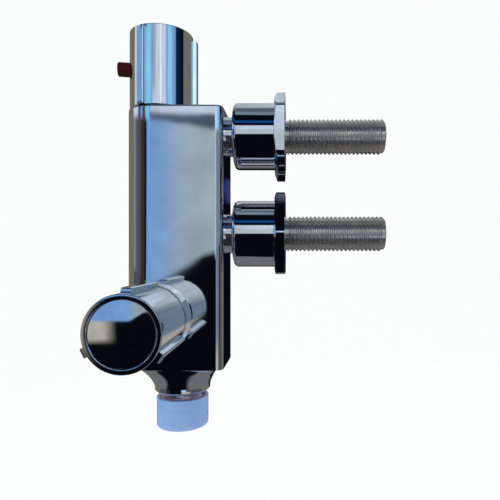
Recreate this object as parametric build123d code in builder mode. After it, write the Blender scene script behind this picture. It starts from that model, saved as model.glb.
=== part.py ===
"""Exposed shower mixer valve with two threaded wall tails, a temperature handle on top,
a flow knob on the side and a capped outlet at the bottom.

Frame: +X points at the wall, +Z up, and the flow knob faces -Y.
Origin: on the wall plane, in the middle of the valve's width, half way between the inlets.
All lengths are in millimetres.
"""

from build123d import *
from math import cos, radians, sin
import os

os.makedirs("parts", exist_ok=True)

# Clearances
running_gap = 0.08
seat_gap = 0.3
thread_gap = 0.12
slip_gap = 0.3
overcut = 1.0

# Body casting
wall_gap = 36.0
body_depth = 59.5
body_width = 40.0
body_top = 44.6
body_bottom = -110.0
body_front_radius = 18.0
body_back_radius = 4.5
body_edge_radius = 1.2
body_back = -wall_gap
body_front = body_back - body_depth

# Outlet bell under the body, and the outlet thread
outlet_from_back = 27.5
bell_end = -125.5
bell_root = 0.6
bell_front_margin = 4.2
bell_back_margin = 4.6
bell_side_margin = 1.6
bell_neck_radius = 16.7
bell_neck_length = 2.0
bell_chamfer = 1.6
bell_sections = 6
bell_corner_ease = 2.0
bell_round_margin = 0.05
outlet_thread_radius = 13.2
outlet_thread_length = 19.5
outlet_bore_radius = 9.0
outlet_x = body_back - outlet_from_back
outlet_end = bell_end - outlet_thread_length

# Transport cap on the outlet
cap_radius = 15.6
cap_wall = 2.1
cap_floor = 1.8
cap_gap_above = 4.0
cap_edge_radius = 2.2
cap_floor_gap = 0.9

# Blind plug in the back of the body
plug_radius = 7.9
plug_z = -3.5
plug_head = 1.0
plug_shank_radius = 5.0
plug_shank_length = 6.0

# Temperature handle and flow knob, which share one design
handle_radius = 19.0
handle_wall = 2.0
handle_length = 47.2
handle_gap = 0.5
handle_turn = 10.0
handle_rim_chamfer = 0.5
rib_count = 3
rib_width = 5.0
rib_height = 3.0
rib_stop_below_rim = 2.4
rib_corner_radius = 1.3
web_thickness = 2.6
web_hole_radius = 6.0
disc_radius = 16.1
disc_recess = 2.3
disc_shelf_width = 1.8
disc_edge_thickness = 1.6
disc_crown = 0.8
hub_radius = 7.3
hub_start = 8.9
insert_flange = 4.0
insert_clearance = 2.0
screw_radius = 2.4
screw_length = 14.0
screw_head_radius = 4.6
screw_head_height = 3.2
screw_web = 4.0
chamber_x = body_front + handle_radius

# Spindles
spindle_radius = 4.5
spindle_top = 22.9
spline_count = 16
spline_depth = 0.5
spline_length = 13.0

# Safety button in the temperature handle
button_height = 25.3
button_radius = 4.3
button_reach = 26.0
button_travel = 2.4
button_neck_radius = 2.0
button_catch_radius = 3.6
button_catch_length = 2.6
button_stem_radius = 1.2
button_stem_length = 2.4
button_edge_radius = 0.6
web_height = button_height + button_catch_radius + insert_clearance + insert_flange
button_spring_wire = 0.35
button_spring_turns = 3
button_catch_margin = 0.8
button_head_inset = 0.6

# Stop ring under the temperature handle
stop_ring_thickness = 2.4
stop_wall_inner = 13.4
stop_wall_outer = 14.8
stop_wall_height = 12.0
stop_angle = 17.0
stop_lug_width = 9.0
cold_turn = 210.0

# Temperature cartridge
chamber_radius = 13.8
chamber_floor = -44.0
cartridge_bottom = -42.0
cartridge_wall_bore = 10.0
cartridge_top = 39.0
cartridge_flange_radius = 15.3
cartridge_flange_height = 2.4
cartridge_roof = 4.0
gallery_floor = -34.0
duct_radius = 5.0
duct_wall = 1.5
duct_top = -14.0
port_window_width = 7.0
port_window_height = 5.0
port_window_count = 4
o_ring_radius = 0.75
o_ring_heights = (33.9, 0.0, -38.0)
retaining_nut_radius = 15.3
retaining_nut_hex = 24.0
retaining_nut_thread = 5.2
retaining_nut_head = 5.8
spindle_flange_radius = 7.5
spindle_flange_height = 3.0
pusher_rod_radius = 3.0
pusher_top = 46.0
pusher_head_radius = 9.5
pusher_head_bottom = 22.0
pusher_head_height = 3.0
pusher_hole_radius = 1.6
pusher_hole_count = 6
element_radius = 4.6
element_bottom = -6.0
element_top = 12.0
element_collar_radius = 6.4
element_collar_height = 2.0
element_pin_radius = 1.8
spool_radius = 9.7
spool_wall = 1.4
spool_half_height = 11.0
spool_web_top = 8.0
spool_web_thickness = 2.0
spool_hole_radius = 0.85
spool_hole_count = 8
return_spring_radius = 6.0
return_spring_wire = 0.5
return_spring_turns = 5

# Flow cartridge; distances run from the middle plane towards the user
flow_from_back = 38.5
flow_z = -79.5
boss_base_margin = 1.4
boss_foot = 0.8
boss_end_margin = 0.4
boss_end = 28.4
boss_step_inset = 1.4
boss_step = 1.2
flow_knob_gap = 0.5
flow_chamber_radius = 11.2
flow_chamber_floor = -4.0
headwork_radius = 11.0
headwork_wall_bore = 8.5
headwork_shoulder = 8.0
headwork_hex = 22.0
headwork_hex_height = 4.5
headwork_neck_radius = 6.6
headwork_neck_top = 38.5
headwork_neck_taper = 4.0
headwork_neck_taper_depth = 0.4
headwork_window_height = 4.0
headwork_window_width = 8.0
headwork_ring_place = 18.0
ceramic_radius = 8.2
ceramic_thickness = 3.2
ceramic_opening = 70.0
ceramic_hub_radius = 2.2
ceramic_rim = 1.2
ceramic_gap = 0.05
disc_seal_height = 1.0
disc_seal_margin = 0.5
boss_base_radius = handle_radius + boss_base_margin
boss_end_radius = handle_radius + boss_end_margin
boss_step_radius = handle_radius - boss_step_inset
flow_x = body_back - flow_from_back

# Water ways inside the casting
inlet_spacing = 60.0
inlet_port_radius = 10.2
inlet_port_depth = 12.0
inlet_way_radius = 6.5
mixed_way_radius = 4.2
mixed_way_y = 8.5
mixed_pocket_radius = 6.0
mixed_pocket_depth = 8.5
outlet_bore_top = -84.0

# Wall tails, cups and wall nuts
tail_radius = 10.7
tail_bore_radius = 7.0
tail_end = 61.0
tail_end_chamfer = 1.0
tail_thread_start = 0.5
tail_shank_relief = 0.3
tail_socket_radius = 7.6
tail_socket_lead = 0.5
tail_spigot_length = 11.0
tail_neck_radius = 12.0
tail_collar_radius = 15.0
tail_collar_thickness = 4.0
tail_o_ring_place = 2.2
tail_o_ring_radius = 0.85
cup_radius = 20.3
cup_wall = 1.8
cup_floor_wall = 2.2
cup_shoulder_radius = 2.6
cup_start = -31.2
washer_thickness = 2.0
wall_nut_flats = 48.7
wall_nut_thickness = 6.2
wall_nut_corner_radius = 1.5
wall_nut_chamfer_inset = 0.4
upper_nut_turn = 0.0
lower_nut_turn = 30.0

# Non-return valve and strainer inside each tail
check_start = -45.5
check_length = 14.5
check_wall = 1.3
check_seat_radius = 3.8
check_seat_thickness = 2.0
check_guide_thickness = 1.5
check_guide_hole_count = 6
check_guide_hole_radius = 1.25
poppet_radius = 4.9
poppet_thickness = 2.0
poppet_stem_radius = 1.25
poppet_stem_tail = 1.5
check_spring_radius = 2.3
check_spring_wire = 0.3
check_spring_turns = 5
strainer_thickness = 1.2
strainer_gap = 0.8
strainer_hole_radius = 0.75
strainer_hole_pitch = 1.8
strainer_hole_rows = 5


def section_plane(plane: Plane) -> Plane:
    """Plane through the axis of `plane`, with x as the radius and y as the height."""
    return Plane(origin=plane.origin, x_dir=plane.x_dir, z_dir=-plane.y_dir)


def swing(plane: Plane, angle: float) -> Plane:
    """Copy of `plane` whose x direction is turned about its normal."""
    return Plane(
        origin=plane.origin,
        x_dir=plane.x_dir * cos(radians(angle)) + plane.y_dir * sin(radians(angle)),
        z_dir=plane.z_dir,
    )


def turn(plane: Plane, outline: list, mode: Mode = Mode.ADD) -> None:
    """Revolve an outline of (radius, height) points about the normal of `plane`."""
    with BuildSketch(section_plane(plane), mode=Mode.PRIVATE) as half:
        with BuildLine():
            Polyline(*outline, close=True)
        make_face()
    revolve(half.sketch, axis=Axis(plane.origin, plane.z_dir), mode=mode)


def bar(plane: Plane, radius: float, low: float, high: float, mode: Mode = Mode.ADD) -> None:
    """Round bar, or round hole in subtract mode, between two heights over `plane`."""
    with BuildSketch(plane.offset(low), mode=Mode.PRIVATE) as end:
        Circle(radius)
    extrude(end.sketch, amount=high - low, mode=mode)


def ring(plane: Plane, radius: float, wire: float, height: float) -> None:
    """Round ring of wire radius `wire` on a circle of the given radius."""
    section = section_plane(plane)
    with BuildSketch(section, mode=Mode.PRIVATE) as wire_section:
        with Locations((radius, height)):
            Circle(wire)
    revolve(wire_section.sketch, axis=Axis(plane.origin, plane.z_dir))


def coil(plane: Plane, radius: float, wire: float, low: float, high: float, turns: int) -> None:
    """Compression spring between two heights over `plane`."""
    height = high - low
    with BuildLine(Plane.XY, mode=Mode.PRIVATE) as path:
        Helix(height / turns, height, radius, center=plane.offset(low).origin, direction=plane.z_dir)
    with BuildSketch(Plane(path.line @ 0, z_dir=path.line % 0), mode=Mode.PRIVATE) as wire_section:
        Circle(wire)
    sweep(wire_section.sketch, path=path.line, is_frenet=True)


def plan_outline(height: float, front: float, back: float, half_width: float,
                 front_radius: float, back_radius: float) -> Sketch:
    """Plan of the body at a height: large corners at the front, small ones at the back."""
    with BuildSketch(Plane.XY.offset(height), mode=Mode.PRIVATE) as plan:
        with Locations(((front + back) / 2, 0)):
            Rectangle(back - front, 2 * half_width)
        fillet(plan.vertices().sort_by(Axis.X)[:2], front_radius)
        fillet(plan.vertices().sort_by(Axis.X)[-2:], back_radius)
    return plan.sketch


def finish_part(part: Part, name: str) -> None:
    """Label one finished piece and write its file."""
    part.label = name
    export_step(part, f"parts/{name}.step")


# Axes of the pieces: each plane's normal is the axis of what is turned on it
stem_plane = Plane(origin=(chamber_x, 0, 0))
flow_plane = Plane(origin=(flow_x, 0, flow_z), x_dir=(0, 0, 1), z_dir=(0, -1, 0))
outlet_plane = Plane(origin=(outlet_x, 0, 0))
handle_plane = Plane(
    origin=(chamber_x, 0, body_top + handle_gap),
    x_dir=(cos(radians(handle_turn)), sin(radians(handle_turn)), 0),
    z_dir=(0, 0, 1),
)
knob_start = boss_end + boss_step + flow_knob_gap
knob_plane = flow_plane.offset(knob_start)
inlets = {"upper": inlet_spacing / 2, "lower": -inlet_spacing / 2}


# Body casting: block, flow boss, outlet bell and outlet thread
half_width = body_width / 2
boss_inside = half_width - body_front_radius + overcut
with BuildPart() as valve_body:
    extrude(
        plan_outline(body_bottom, body_front, body_back, half_width, body_front_radius, body_back_radius),
        amount=body_top - body_bottom,
    )
    fillet(valve_body.edges().group_by(Axis.Z)[-1], body_edge_radius)
    fillet(valve_body.edges().group_by(Axis.Z)[0], body_edge_radius / 2)
    turn(flow_plane, [
        (0, boss_inside), (boss_base_radius, boss_inside), (boss_base_radius, half_width + boss_foot),
        (boss_end_radius, boss_end), (boss_step_radius, boss_end),
        (boss_step_radius, boss_end + boss_step), (0, boss_end + boss_step),
    ])
    bell = []
    bell_start = body_bottom + bell_root
    for index in range(bell_sections):
        angle = radians(90 * index / (bell_sections - 1))
        share = 1 - sin(angle)
        height = bell_start - (bell_start - bell_end - bell_neck_length) * (1 - cos(angle))
        front_reach = outlet_x - bell_neck_radius
        back_reach = outlet_x + bell_neck_radius
        side = bell_neck_radius + share * (half_width - bell_side_margin - bell_neck_radius)
        largest_radius = side - bell_round_margin
        bell.append(plan_outline(
            height,
            front_reach + share * (body_front + bell_front_margin - front_reach),
            back_reach + share * (body_back - bell_back_margin - back_reach),
            side,
            largest_radius - share * bell_corner_ease,
            largest_radius * (1 - share) + share * (body_back_radius + bell_corner_ease),
        ))
    loft(bell[::-1])
    turn(outlet_plane, [
        (0, body_bottom - overcut), (bell_neck_radius - overcut, body_bottom - overcut),
        (bell_neck_radius - overcut, bell_end + bell_neck_length),
        (bell_neck_radius, bell_end + bell_neck_length), (bell_neck_radius, bell_end + bell_chamfer / 2),
        (bell_neck_radius - bell_chamfer, bell_end - bell_chamfer / 2),
        (outlet_thread_radius, bell_end - bell_chamfer / 2), (outlet_thread_radius, outlet_end),
        (0, outlet_end),
    ])
    bar(stem_plane, chamber_radius, chamber_floor, body_top + overcut, Mode.SUBTRACT)
    bar(stem_plane, cartridge_flange_radius + slip_gap, cartridge_top - cartridge_flange_height,
        body_top + overcut, Mode.SUBTRACT)
    bar(flow_plane, flow_chamber_radius, flow_chamber_floor, knob_start, Mode.SUBTRACT)
    bar(flow_plane, mixed_pocket_radius, flow_chamber_floor - mixed_pocket_depth,
        flow_chamber_floor, Mode.SUBTRACT)
    bar(Plane(origin=(chamber_x, mixed_way_y, 0)), mixed_way_radius, flow_z, chamber_floor, Mode.SUBTRACT)
    bar(outlet_plane, outlet_bore_radius, outlet_end, outlet_bore_top, Mode.SUBTRACT)
    for inlet_z in inlets.values():
        inlet_plane = Plane(origin=(0, 0, inlet_z), x_dir=(0, 1, 0), z_dir=(1, 0, 0))
        bar(inlet_plane, inlet_port_radius, body_back - inlet_port_depth, body_back, Mode.SUBTRACT)
        bar(inlet_plane, inlet_way_radius, chamber_x, body_back - inlet_port_depth, Mode.SUBTRACT)
    plug_plane = Plane(origin=(body_back, 0, plug_z), x_dir=(0, 1, 0), z_dir=(1, 0, 0))
    bar(plug_plane, plug_shank_radius, -plug_shank_length - slip_gap, 0, Mode.SUBTRACT)
finish_part(valve_body.part, "valve_body")

# Blind plug at the back, between the inlets
with BuildPart() as rear_plug:
    bar(plug_plane, plug_radius, 0, plug_head)
    chamfer(rear_plug.edges().filter_by(GeomType.CIRCLE).sort_by(Axis.X)[-1], plug_head / 4)
    bar(plug_plane, plug_shank_radius - thread_gap, -plug_shank_length, 0)
finish_part(rear_plug.part, "rear_plug")

# Translucent transport cap over the outlet thread
cap_rim = bell_end - cap_gap_above
cap_inner = outlet_end - cap_floor_gap
cap_bottom = cap_inner - cap_floor
with BuildPart() as outlet_cap:
    bar(outlet_plane, cap_radius, cap_bottom, cap_rim)
    fillet(outlet_cap.edges().filter_by(GeomType.CIRCLE).sort_by(Axis.Z)[0], cap_edge_radius)
    bar(outlet_plane, cap_radius - cap_wall, cap_inner, cap_rim, Mode.SUBTRACT)
finish_part(outlet_cap.part, "outlet_cap")


# Temperature cartridge: sleeve with hot and cold windows and a mixed duct down its middle
sleeve_radius = chamber_radius - slip_gap
flange_bottom = cartridge_top - cartridge_flange_height
with BuildPart() as cartridge_sleeve:
    turn(stem_plane, [
        (duct_radius, cartridge_bottom), (sleeve_radius, cartridge_bottom), (sleeve_radius, flange_bottom),
        (cartridge_flange_radius, flange_bottom), (cartridge_flange_radius, cartridge_top),
        (spindle_radius + running_gap, cartridge_top),
        (spindle_radius + running_gap, cartridge_top - cartridge_roof),
        (cartridge_wall_bore, cartridge_top - cartridge_roof), (cartridge_wall_bore, gallery_floor),
        (duct_radius + duct_wall, gallery_floor), (duct_radius + duct_wall, duct_top),
        (duct_radius, duct_top),
    ])
    for inlet_z in inlets.values():
        with BuildSketch(Plane.XY.offset(inlet_z - port_window_height / 2)):
            with Locations((chamber_x, 0)):
                with PolarLocations((cartridge_wall_bore + sleeve_radius) / 2, port_window_count):
                    Rectangle(sleeve_radius - cartridge_wall_bore + 2 * overcut, port_window_width)
        extrude(amount=port_window_height, mode=Mode.SUBTRACT)
    for height in o_ring_heights:
        turn(stem_plane, [
            (chamber_radius - 2 * o_ring_radius, height - o_ring_radius),
            (chamber_radius, height - o_ring_radius), (chamber_radius, height + o_ring_radius),
            (chamber_radius - 2 * o_ring_radius, height + o_ring_radius),
        ], Mode.SUBTRACT)
finish_part(cartridge_sleeve.part, "cartridge_sleeve")

with BuildPart() as cartridge_o_rings:
    for height in o_ring_heights:
        ring(stem_plane, chamber_radius - o_ring_radius, o_ring_radius, height)
finish_part(cartridge_o_rings.part, "cartridge_o_rings")

# Nut that holds the cartridge in the body
nut_head_start = cartridge_top + retaining_nut_thread
nut_head_top = nut_head_start + retaining_nut_head
with BuildPart() as retaining_nut:
    bar(stem_plane, retaining_nut_radius, cartridge_top, nut_head_start)
    with BuildSketch(stem_plane.offset(nut_head_start)):
        RegularPolygon(retaining_nut_hex / 2, 6, major_radius=False)
    extrude(amount=retaining_nut_head)
    bar(stem_plane, spindle_radius + slip_gap, cartridge_top, nut_head_top, Mode.SUBTRACT)
finish_part(retaining_nut.part, "retaining_nut")


def spindle(plane: Plane, low: float, flange_top: float, top: float) -> None:
    """Turned spindle with a flange at its low end and splines and a screw hole at its top."""
    turn(plane, [
        (0, low), (spindle_flange_radius, low), (spindle_flange_radius, flange_top),
        (spindle_radius, flange_top), (spindle_radius, top), (0, top),
    ])
    with BuildSketch(plane.offset(top - spline_length), mode=Mode.PRIVATE) as grooves:
        with PolarLocations(spindle_radius, spline_count):
            RegularPolygon(spline_depth, 4)
    extrude(grooves.sketch, amount=spline_length, mode=Mode.SUBTRACT)
    bar(plane, screw_radius + thread_gap, top - screw_length, top, Mode.SUBTRACT)


# Temperature spindle: its lower end is a nut that drives the pusher up and down
spindle_roof = cartridge_top - cartridge_roof - seat_gap
stem_top = body_top + handle_gap + spindle_top
with BuildPart() as temperature_spindle:
    spindle(stem_plane, spindle_roof - spindle_flange_height, spindle_roof, stem_top)
    bar(stem_plane, pusher_rod_radius + thread_gap / 2, spindle_roof - spindle_flange_height,
        pusher_top + overcut, Mode.SUBTRACT)
finish_part(temperature_spindle.part, "temperature_spindle")

with BuildPart() as temperature_pusher:
    pusher_head_top = pusher_head_bottom + pusher_head_height
    turn(stem_plane, [
        (0, pusher_head_bottom), (pusher_head_radius, pusher_head_bottom),
        (pusher_head_radius, pusher_head_top), (pusher_rod_radius - thread_gap / 2, pusher_head_top),
        (pusher_rod_radius - thread_gap / 2, pusher_top), (0, pusher_top),
    ])
    with BuildSketch(stem_plane.offset(pusher_head_bottom)):
        with PolarLocations((pusher_rod_radius + pusher_head_radius) / 2, pusher_hole_count):
            Circle(pusher_hole_radius)
    extrude(amount=pusher_head_height, mode=Mode.SUBTRACT)
finish_part(temperature_pusher.part, "temperature_pusher")

# Wax element that stands under the pusher, and the spool that it carries
with BuildPart() as wax_element:
    turn(stem_plane, [
        (0, element_bottom), (element_radius, element_bottom), (element_radius, spool_web_top),
        (element_collar_radius, spool_web_top),
        (element_collar_radius, spool_web_top + element_collar_height),
        (element_radius, spool_web_top + element_collar_height), (element_radius, element_top),
        (element_pin_radius, element_top), (element_pin_radius, pusher_head_bottom),
        (0, pusher_head_bottom),
    ])
finish_part(wax_element.part, "wax_element")

with BuildPart() as mixing_spool:
    spool_bore = spool_radius - spool_wall
    web_bottom = spool_web_top - spool_web_thickness
    web_bore = element_radius + thread_gap
    turn(stem_plane, [
        (web_bore, web_bottom), (spool_bore, web_bottom), (spool_bore, -spool_half_height),
        (spool_radius, -spool_half_height), (spool_radius, spool_half_height),
        (spool_bore, spool_half_height), (spool_bore, spool_web_top), (web_bore, spool_web_top),
    ])
    with BuildSketch(stem_plane.offset(web_bottom)):
        with PolarLocations((element_collar_radius + spool_bore) / 2, spool_hole_count):
            Circle(spool_hole_radius)
    extrude(amount=spool_web_thickness, mode=Mode.SUBTRACT)
finish_part(mixing_spool.part, "mixing_spool")

with BuildPart() as return_spring:
    coil(stem_plane, return_spring_radius, return_spring_wire, duct_top + return_spring_wire,
         web_bottom - return_spring_wire, return_spring_turns)
finish_part(return_spring.part, "return_spring")

# Stop ring on the nut: a wall between the two ends of the turn, with a lug at each end
button_angle = handle_turn + 180
button_z = body_top + handle_gap + button_height
stop_lug_top = button_z - (button_neck_radius + button_catch_radius) / 2 + seat_gap
with BuildPart() as stop_ring:
    bar(stem_plane, stop_wall_outer, nut_head_top, nut_head_top + stop_ring_thickness)
    bar(stem_plane, hub_radius + slip_gap, nut_head_top, nut_head_top + stop_ring_thickness, Mode.SUBTRACT)
    wall_from = button_angle + stop_angle - stop_lug_width / 2
    wall_to = button_angle + 360 - cold_turn - stop_angle + stop_lug_width / 2
    walls = [
        (wall_from, wall_to, stop_wall_height),
        (wall_from, wall_from + stop_lug_width, stop_lug_top - nut_head_top),
        (wall_to - stop_lug_width, wall_to, stop_lug_top - nut_head_top),
    ]
    for start, stop, height in walls:
        with BuildSketch(section_plane(swing(stem_plane, start)), mode=Mode.PRIVATE) as wall:
            with Locations(((stop_wall_inner + stop_wall_outer) / 2, nut_head_top + height / 2)):
                Rectangle(stop_wall_outer - stop_wall_inner, height)
        revolve(wall.sketch, axis=Axis(stem_plane.origin, (0, 0, 1)), revolution_arc=stop - start)
finish_part(stop_ring.part, "stop_ring")


def handle_shell(plane: Plane) -> None:
    """Chromed shell with three long ribs, a web for the insert and a shelf for the end disc."""
    inner = handle_radius - handle_wall
    web_top = web_height + web_thickness
    shelf = handle_length - disc_recess
    seat = disc_radius + slip_gap / 2
    turn(plane, [
        (web_hole_radius, web_height), (inner, web_height), (inner, 0),
        (handle_radius - handle_rim_chamfer, 0), (handle_radius, handle_rim_chamfer),
        (handle_radius, handle_length - handle_rim_chamfer),
        (handle_radius - handle_rim_chamfer, handle_length), (seat, handle_length), (seat, shelf),
        (seat - disc_shelf_width, shelf), (seat - disc_shelf_width, web_top), (web_hole_radius, web_top),
    ])
    rib_root = handle_wall / 2
    with BuildPart(plane, mode=Mode.PRIVATE) as rib:
        with Locations((handle_radius + (rib_height - rib_root) / 2, 0, 0)):
            Box(rib_height + rib_root, rib_width, handle_length - rib_stop_below_rim,
                align=(Align.CENTER, Align.CENTER, Align.MIN))
        fillet(rib.faces().sort_by(Axis(plane.origin, plane.x_dir))[-1].edges(), rib_corner_radius)
    for index in range(rib_count):
        add(rib.part.rotate(Axis(plane.origin, plane.z_dir), 360 * index / rib_count))


def handle_insert(plane: Plane) -> None:
    """Moulded insert under the shell's web: a hub on the spindle with a pocket for the screw."""
    flange_start = web_height - insert_flange
    flange_radius = handle_radius - handle_wall - slip_gap / 2
    turn(plane, [
        (spindle_radius + thread_gap, hub_start), (hub_radius, hub_start), (hub_radius, flange_start),
        (flange_radius, flange_start), (flange_radius, web_height),
        (screw_head_radius + slip_gap, web_height), (screw_head_radius + slip_gap, spindle_top + screw_web),
        (screw_radius + slip_gap, spindle_top + screw_web), (screw_radius + slip_gap, spindle_top),
        (spindle_radius + thread_gap, spindle_top),
    ])


def handle_screw(plane: Plane) -> None:
    """Cap screw down the middle of the insert into the spindle."""
    under_head = spindle_top + screw_web
    head_top = under_head + screw_head_height
    turn(plane, [
        (0, spindle_top - screw_length + screw_web), (screw_radius, spindle_top - screw_length + screw_web),
        (screw_radius, under_head), (screw_head_radius, under_head), (screw_head_radius, head_top),
        (0, head_top),
    ])
    with BuildSketch(plane.offset(under_head + screw_head_height / 2), mode=Mode.PRIVATE) as socket:
        RegularPolygon(screw_head_radius / 2, 6)
    extrude(socket.sketch, amount=screw_head_height / 2, mode=Mode.SUBTRACT)


def end_disc(plane: Plane) -> None:
    """Slightly domed disc that closes the end of a handle."""
    under = handle_length - disc_recess
    edge = under + disc_edge_thickness
    with BuildSketch(section_plane(plane), mode=Mode.PRIVATE) as half:
        with BuildLine():
            Polyline((0, edge + disc_crown), (0, under), (disc_radius, under), (disc_radius, edge))
            TangentArc((0, edge + disc_crown), (disc_radius, edge), tangent=(1, 0))
        make_face()
    revolve(half.sketch, axis=Axis(plane.origin, plane.z_dir))


# Temperature handle; the safety button's hole lies opposite the first rib
button_plane = Plane(
    origin=handle_plane.from_local_coords((0, 0, button_height)),
    x_dir=(0, 0, 1),
    z_dir=-handle_plane.x_dir,
)
with BuildPart() as temperature_handle_shell:
    handle_shell(handle_plane)
    bar(button_plane, button_radius + slip_gap, handle_radius - 2 * handle_wall, handle_radius + rib_height,
        Mode.SUBTRACT)
finish_part(temperature_handle_shell.part, "temperature_handle_shell")

with BuildPart() as temperature_handle_insert:
    handle_insert(handle_plane)
finish_part(temperature_handle_insert.part, "temperature_handle_insert")

with BuildPart() as temperature_handle_screw:
    handle_screw(handle_plane)
finish_part(temperature_handle_screw.part, "temperature_handle_screw")

with BuildPart() as temperature_handle_disc:
    end_disc(handle_plane)
finish_part(temperature_handle_disc.part, "temperature_handle_disc")

# Safety button: the thick catch meets the stop lug, and pressing brings the thin neck over it
catch_outer = stop_wall_outer + button_catch_margin
catch_inner = catch_outer - button_catch_length
head_inner = catch_outer + button_travel - button_head_inset
with BuildPart() as safety_button:
    turn(button_plane, [
        (0, catch_inner - button_stem_length), (button_stem_radius, catch_inner - button_stem_length),
        (button_stem_radius, catch_inner), (button_catch_radius, catch_inner),
        (button_catch_radius, catch_outer), (button_neck_radius, catch_outer),
        (button_neck_radius, head_inner), (button_radius, head_inner),
        (button_radius, button_reach - button_edge_radius),
        (button_radius - button_edge_radius, button_reach), (0, button_reach),
    ])
finish_part(safety_button.part, "safety_button")

with BuildPart() as button_spring:
    coil(button_plane, (button_stem_radius + button_catch_radius) / 2, button_spring_wire,
         hub_radius + button_spring_wire, catch_inner - button_spring_wire, button_spring_turns)
finish_part(button_spring.part, "button_spring")


# Flow cartridge: screwed body, seal, fixed and moving ceramic discs, and spindle
headwork_end = flow_chamber_floor + disc_seal_height
knob_spindle_top = knob_start + spindle_top
with BuildPart() as flow_headwork:
    turn(flow_plane, [
        (headwork_wall_bore, headwork_end), (headwork_radius, headwork_end),
        (headwork_radius, boss_end + boss_step), (headwork_neck_radius, boss_end + boss_step),
        (headwork_neck_radius, headwork_neck_top - headwork_neck_taper),
        (headwork_neck_radius - headwork_neck_taper_depth, headwork_neck_top),
        (spindle_radius + running_gap, headwork_neck_top),
        (spindle_radius + running_gap, headwork_shoulder), (headwork_wall_bore, headwork_shoulder),
    ])
    with BuildSketch(flow_plane.offset(boss_end + boss_step)):
        RegularPolygon(headwork_hex / 2, 6, major_radius=False)
        Circle(spindle_radius + overcut, mode=Mode.SUBTRACT)
    extrude(amount=headwork_hex_height)
    with BuildSketch(flow_plane.offset(headwork_shoulder - headwork_window_height)):
        with PolarLocations(headwork_radius, 3):
            Rectangle(2 * (headwork_radius - headwork_wall_bore) + overcut, headwork_window_width)
    extrude(amount=headwork_window_height, mode=Mode.SUBTRACT)
    turn(flow_plane, [
        (flow_chamber_radius - 2 * o_ring_radius, headwork_ring_place - o_ring_radius),
        (flow_chamber_radius, headwork_ring_place - o_ring_radius),
        (flow_chamber_radius, headwork_ring_place + o_ring_radius),
        (flow_chamber_radius - 2 * o_ring_radius, headwork_ring_place + o_ring_radius),
    ], Mode.SUBTRACT)
finish_part(flow_headwork.part, "flow_headwork")

with BuildPart() as flow_o_ring:
    ring(flow_plane, flow_chamber_radius - o_ring_radius, o_ring_radius, headwork_ring_place)
finish_part(flow_o_ring.part, "flow_o_ring")

seal_radius = headwork_radius - disc_seal_margin
with BuildPart() as disc_seal:
    turn(flow_plane, [
        (mixed_pocket_radius, flow_chamber_floor), (seal_radius, flow_chamber_floor),
        (seal_radius, headwork_end), (mixed_pocket_radius, headwork_end),
    ])
finish_part(disc_seal.part, "disc_seal")


def on_circle(radius: float, angle: float) -> tuple:
    """Point of a circle about the origin of a sketch, at an angle in degrees."""
    return (radius * cos(radians(angle)), radius * sin(radians(angle)))


def ceramic_disc(low: float, first_angle: float) -> None:
    """Ceramic disc with two openings opposite each other."""
    bar(flow_plane, ceramic_radius, low, low + ceramic_thickness)
    reach = ceramic_radius - ceramic_rim
    with BuildSketch(flow_plane.offset(low), mode=Mode.PRIVATE) as openings:
        for middle in (first_angle, first_angle + 180):
            first = middle - ceramic_opening / 2
            last = middle + ceramic_opening / 2
            with BuildLine():
                Line(on_circle(ceramic_hub_radius, first), on_circle(reach, first))
                ThreePointArc(on_circle(reach, first), on_circle(reach, middle), on_circle(reach, last))
                Line(on_circle(reach, last), on_circle(ceramic_hub_radius, last))
                ThreePointArc(
                    on_circle(ceramic_hub_radius, last),
                    on_circle(ceramic_hub_radius, middle),
                    on_circle(ceramic_hub_radius, first),
                )
            make_face()
    extrude(openings.sketch, amount=ceramic_thickness, mode=Mode.SUBTRACT)


moving_disc_start = headwork_end + ceramic_thickness + ceramic_gap
with BuildPart() as fixed_ceramic_disc:
    ceramic_disc(headwork_end, 0)
finish_part(fixed_ceramic_disc.part, "fixed_ceramic_disc")

with BuildPart() as moving_ceramic_disc:
    ceramic_disc(moving_disc_start, 90)
finish_part(moving_ceramic_disc.part, "moving_ceramic_disc")

with BuildPart() as flow_spindle:
    spindle(flow_plane, moving_disc_start + ceramic_thickness, headwork_shoulder - seat_gap,
            knob_spindle_top)
finish_part(flow_spindle.part, "flow_spindle")

# Flow knob
with BuildPart() as flow_knob_shell:
    handle_shell(knob_plane)
finish_part(flow_knob_shell.part, "flow_knob_shell")

with BuildPart() as flow_knob_insert:
    handle_insert(knob_plane)
finish_part(flow_knob_insert.part, "flow_knob_insert")

with BuildPart() as flow_knob_screw:
    handle_screw(knob_plane)
finish_part(flow_knob_screw.part, "flow_knob_screw")

with BuildPart() as flow_knob_disc:
    end_disc(knob_plane)
finish_part(flow_knob_disc.part, "flow_knob_disc")


# Two inlets, each a wall tail with its cup, wall nut, seals, strainer and non-return valve
spigot_start = body_back - tail_spigot_length
spigot_radius = inlet_port_radius - thread_gap
cup_floor_inner = cup_start + cup_floor_wall
collar_start = cup_floor_inner + washer_thickness
nut_start = -wall_nut_thickness
check_end = check_start + check_length
seat_face = check_end - check_seat_thickness
poppet_front = seat_face - seat_gap
poppet_back = poppet_front - poppet_thickness
check_radius = tail_socket_radius - thread_gap
strainer_start = check_end + strainer_gap
socket_end = strainer_start + strainer_thickness
shank_radius = tail_radius - tail_shank_relief
check_bore = check_radius - check_wall
nut_turns = {"upper": upper_nut_turn, "lower": lower_nut_turn}

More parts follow.
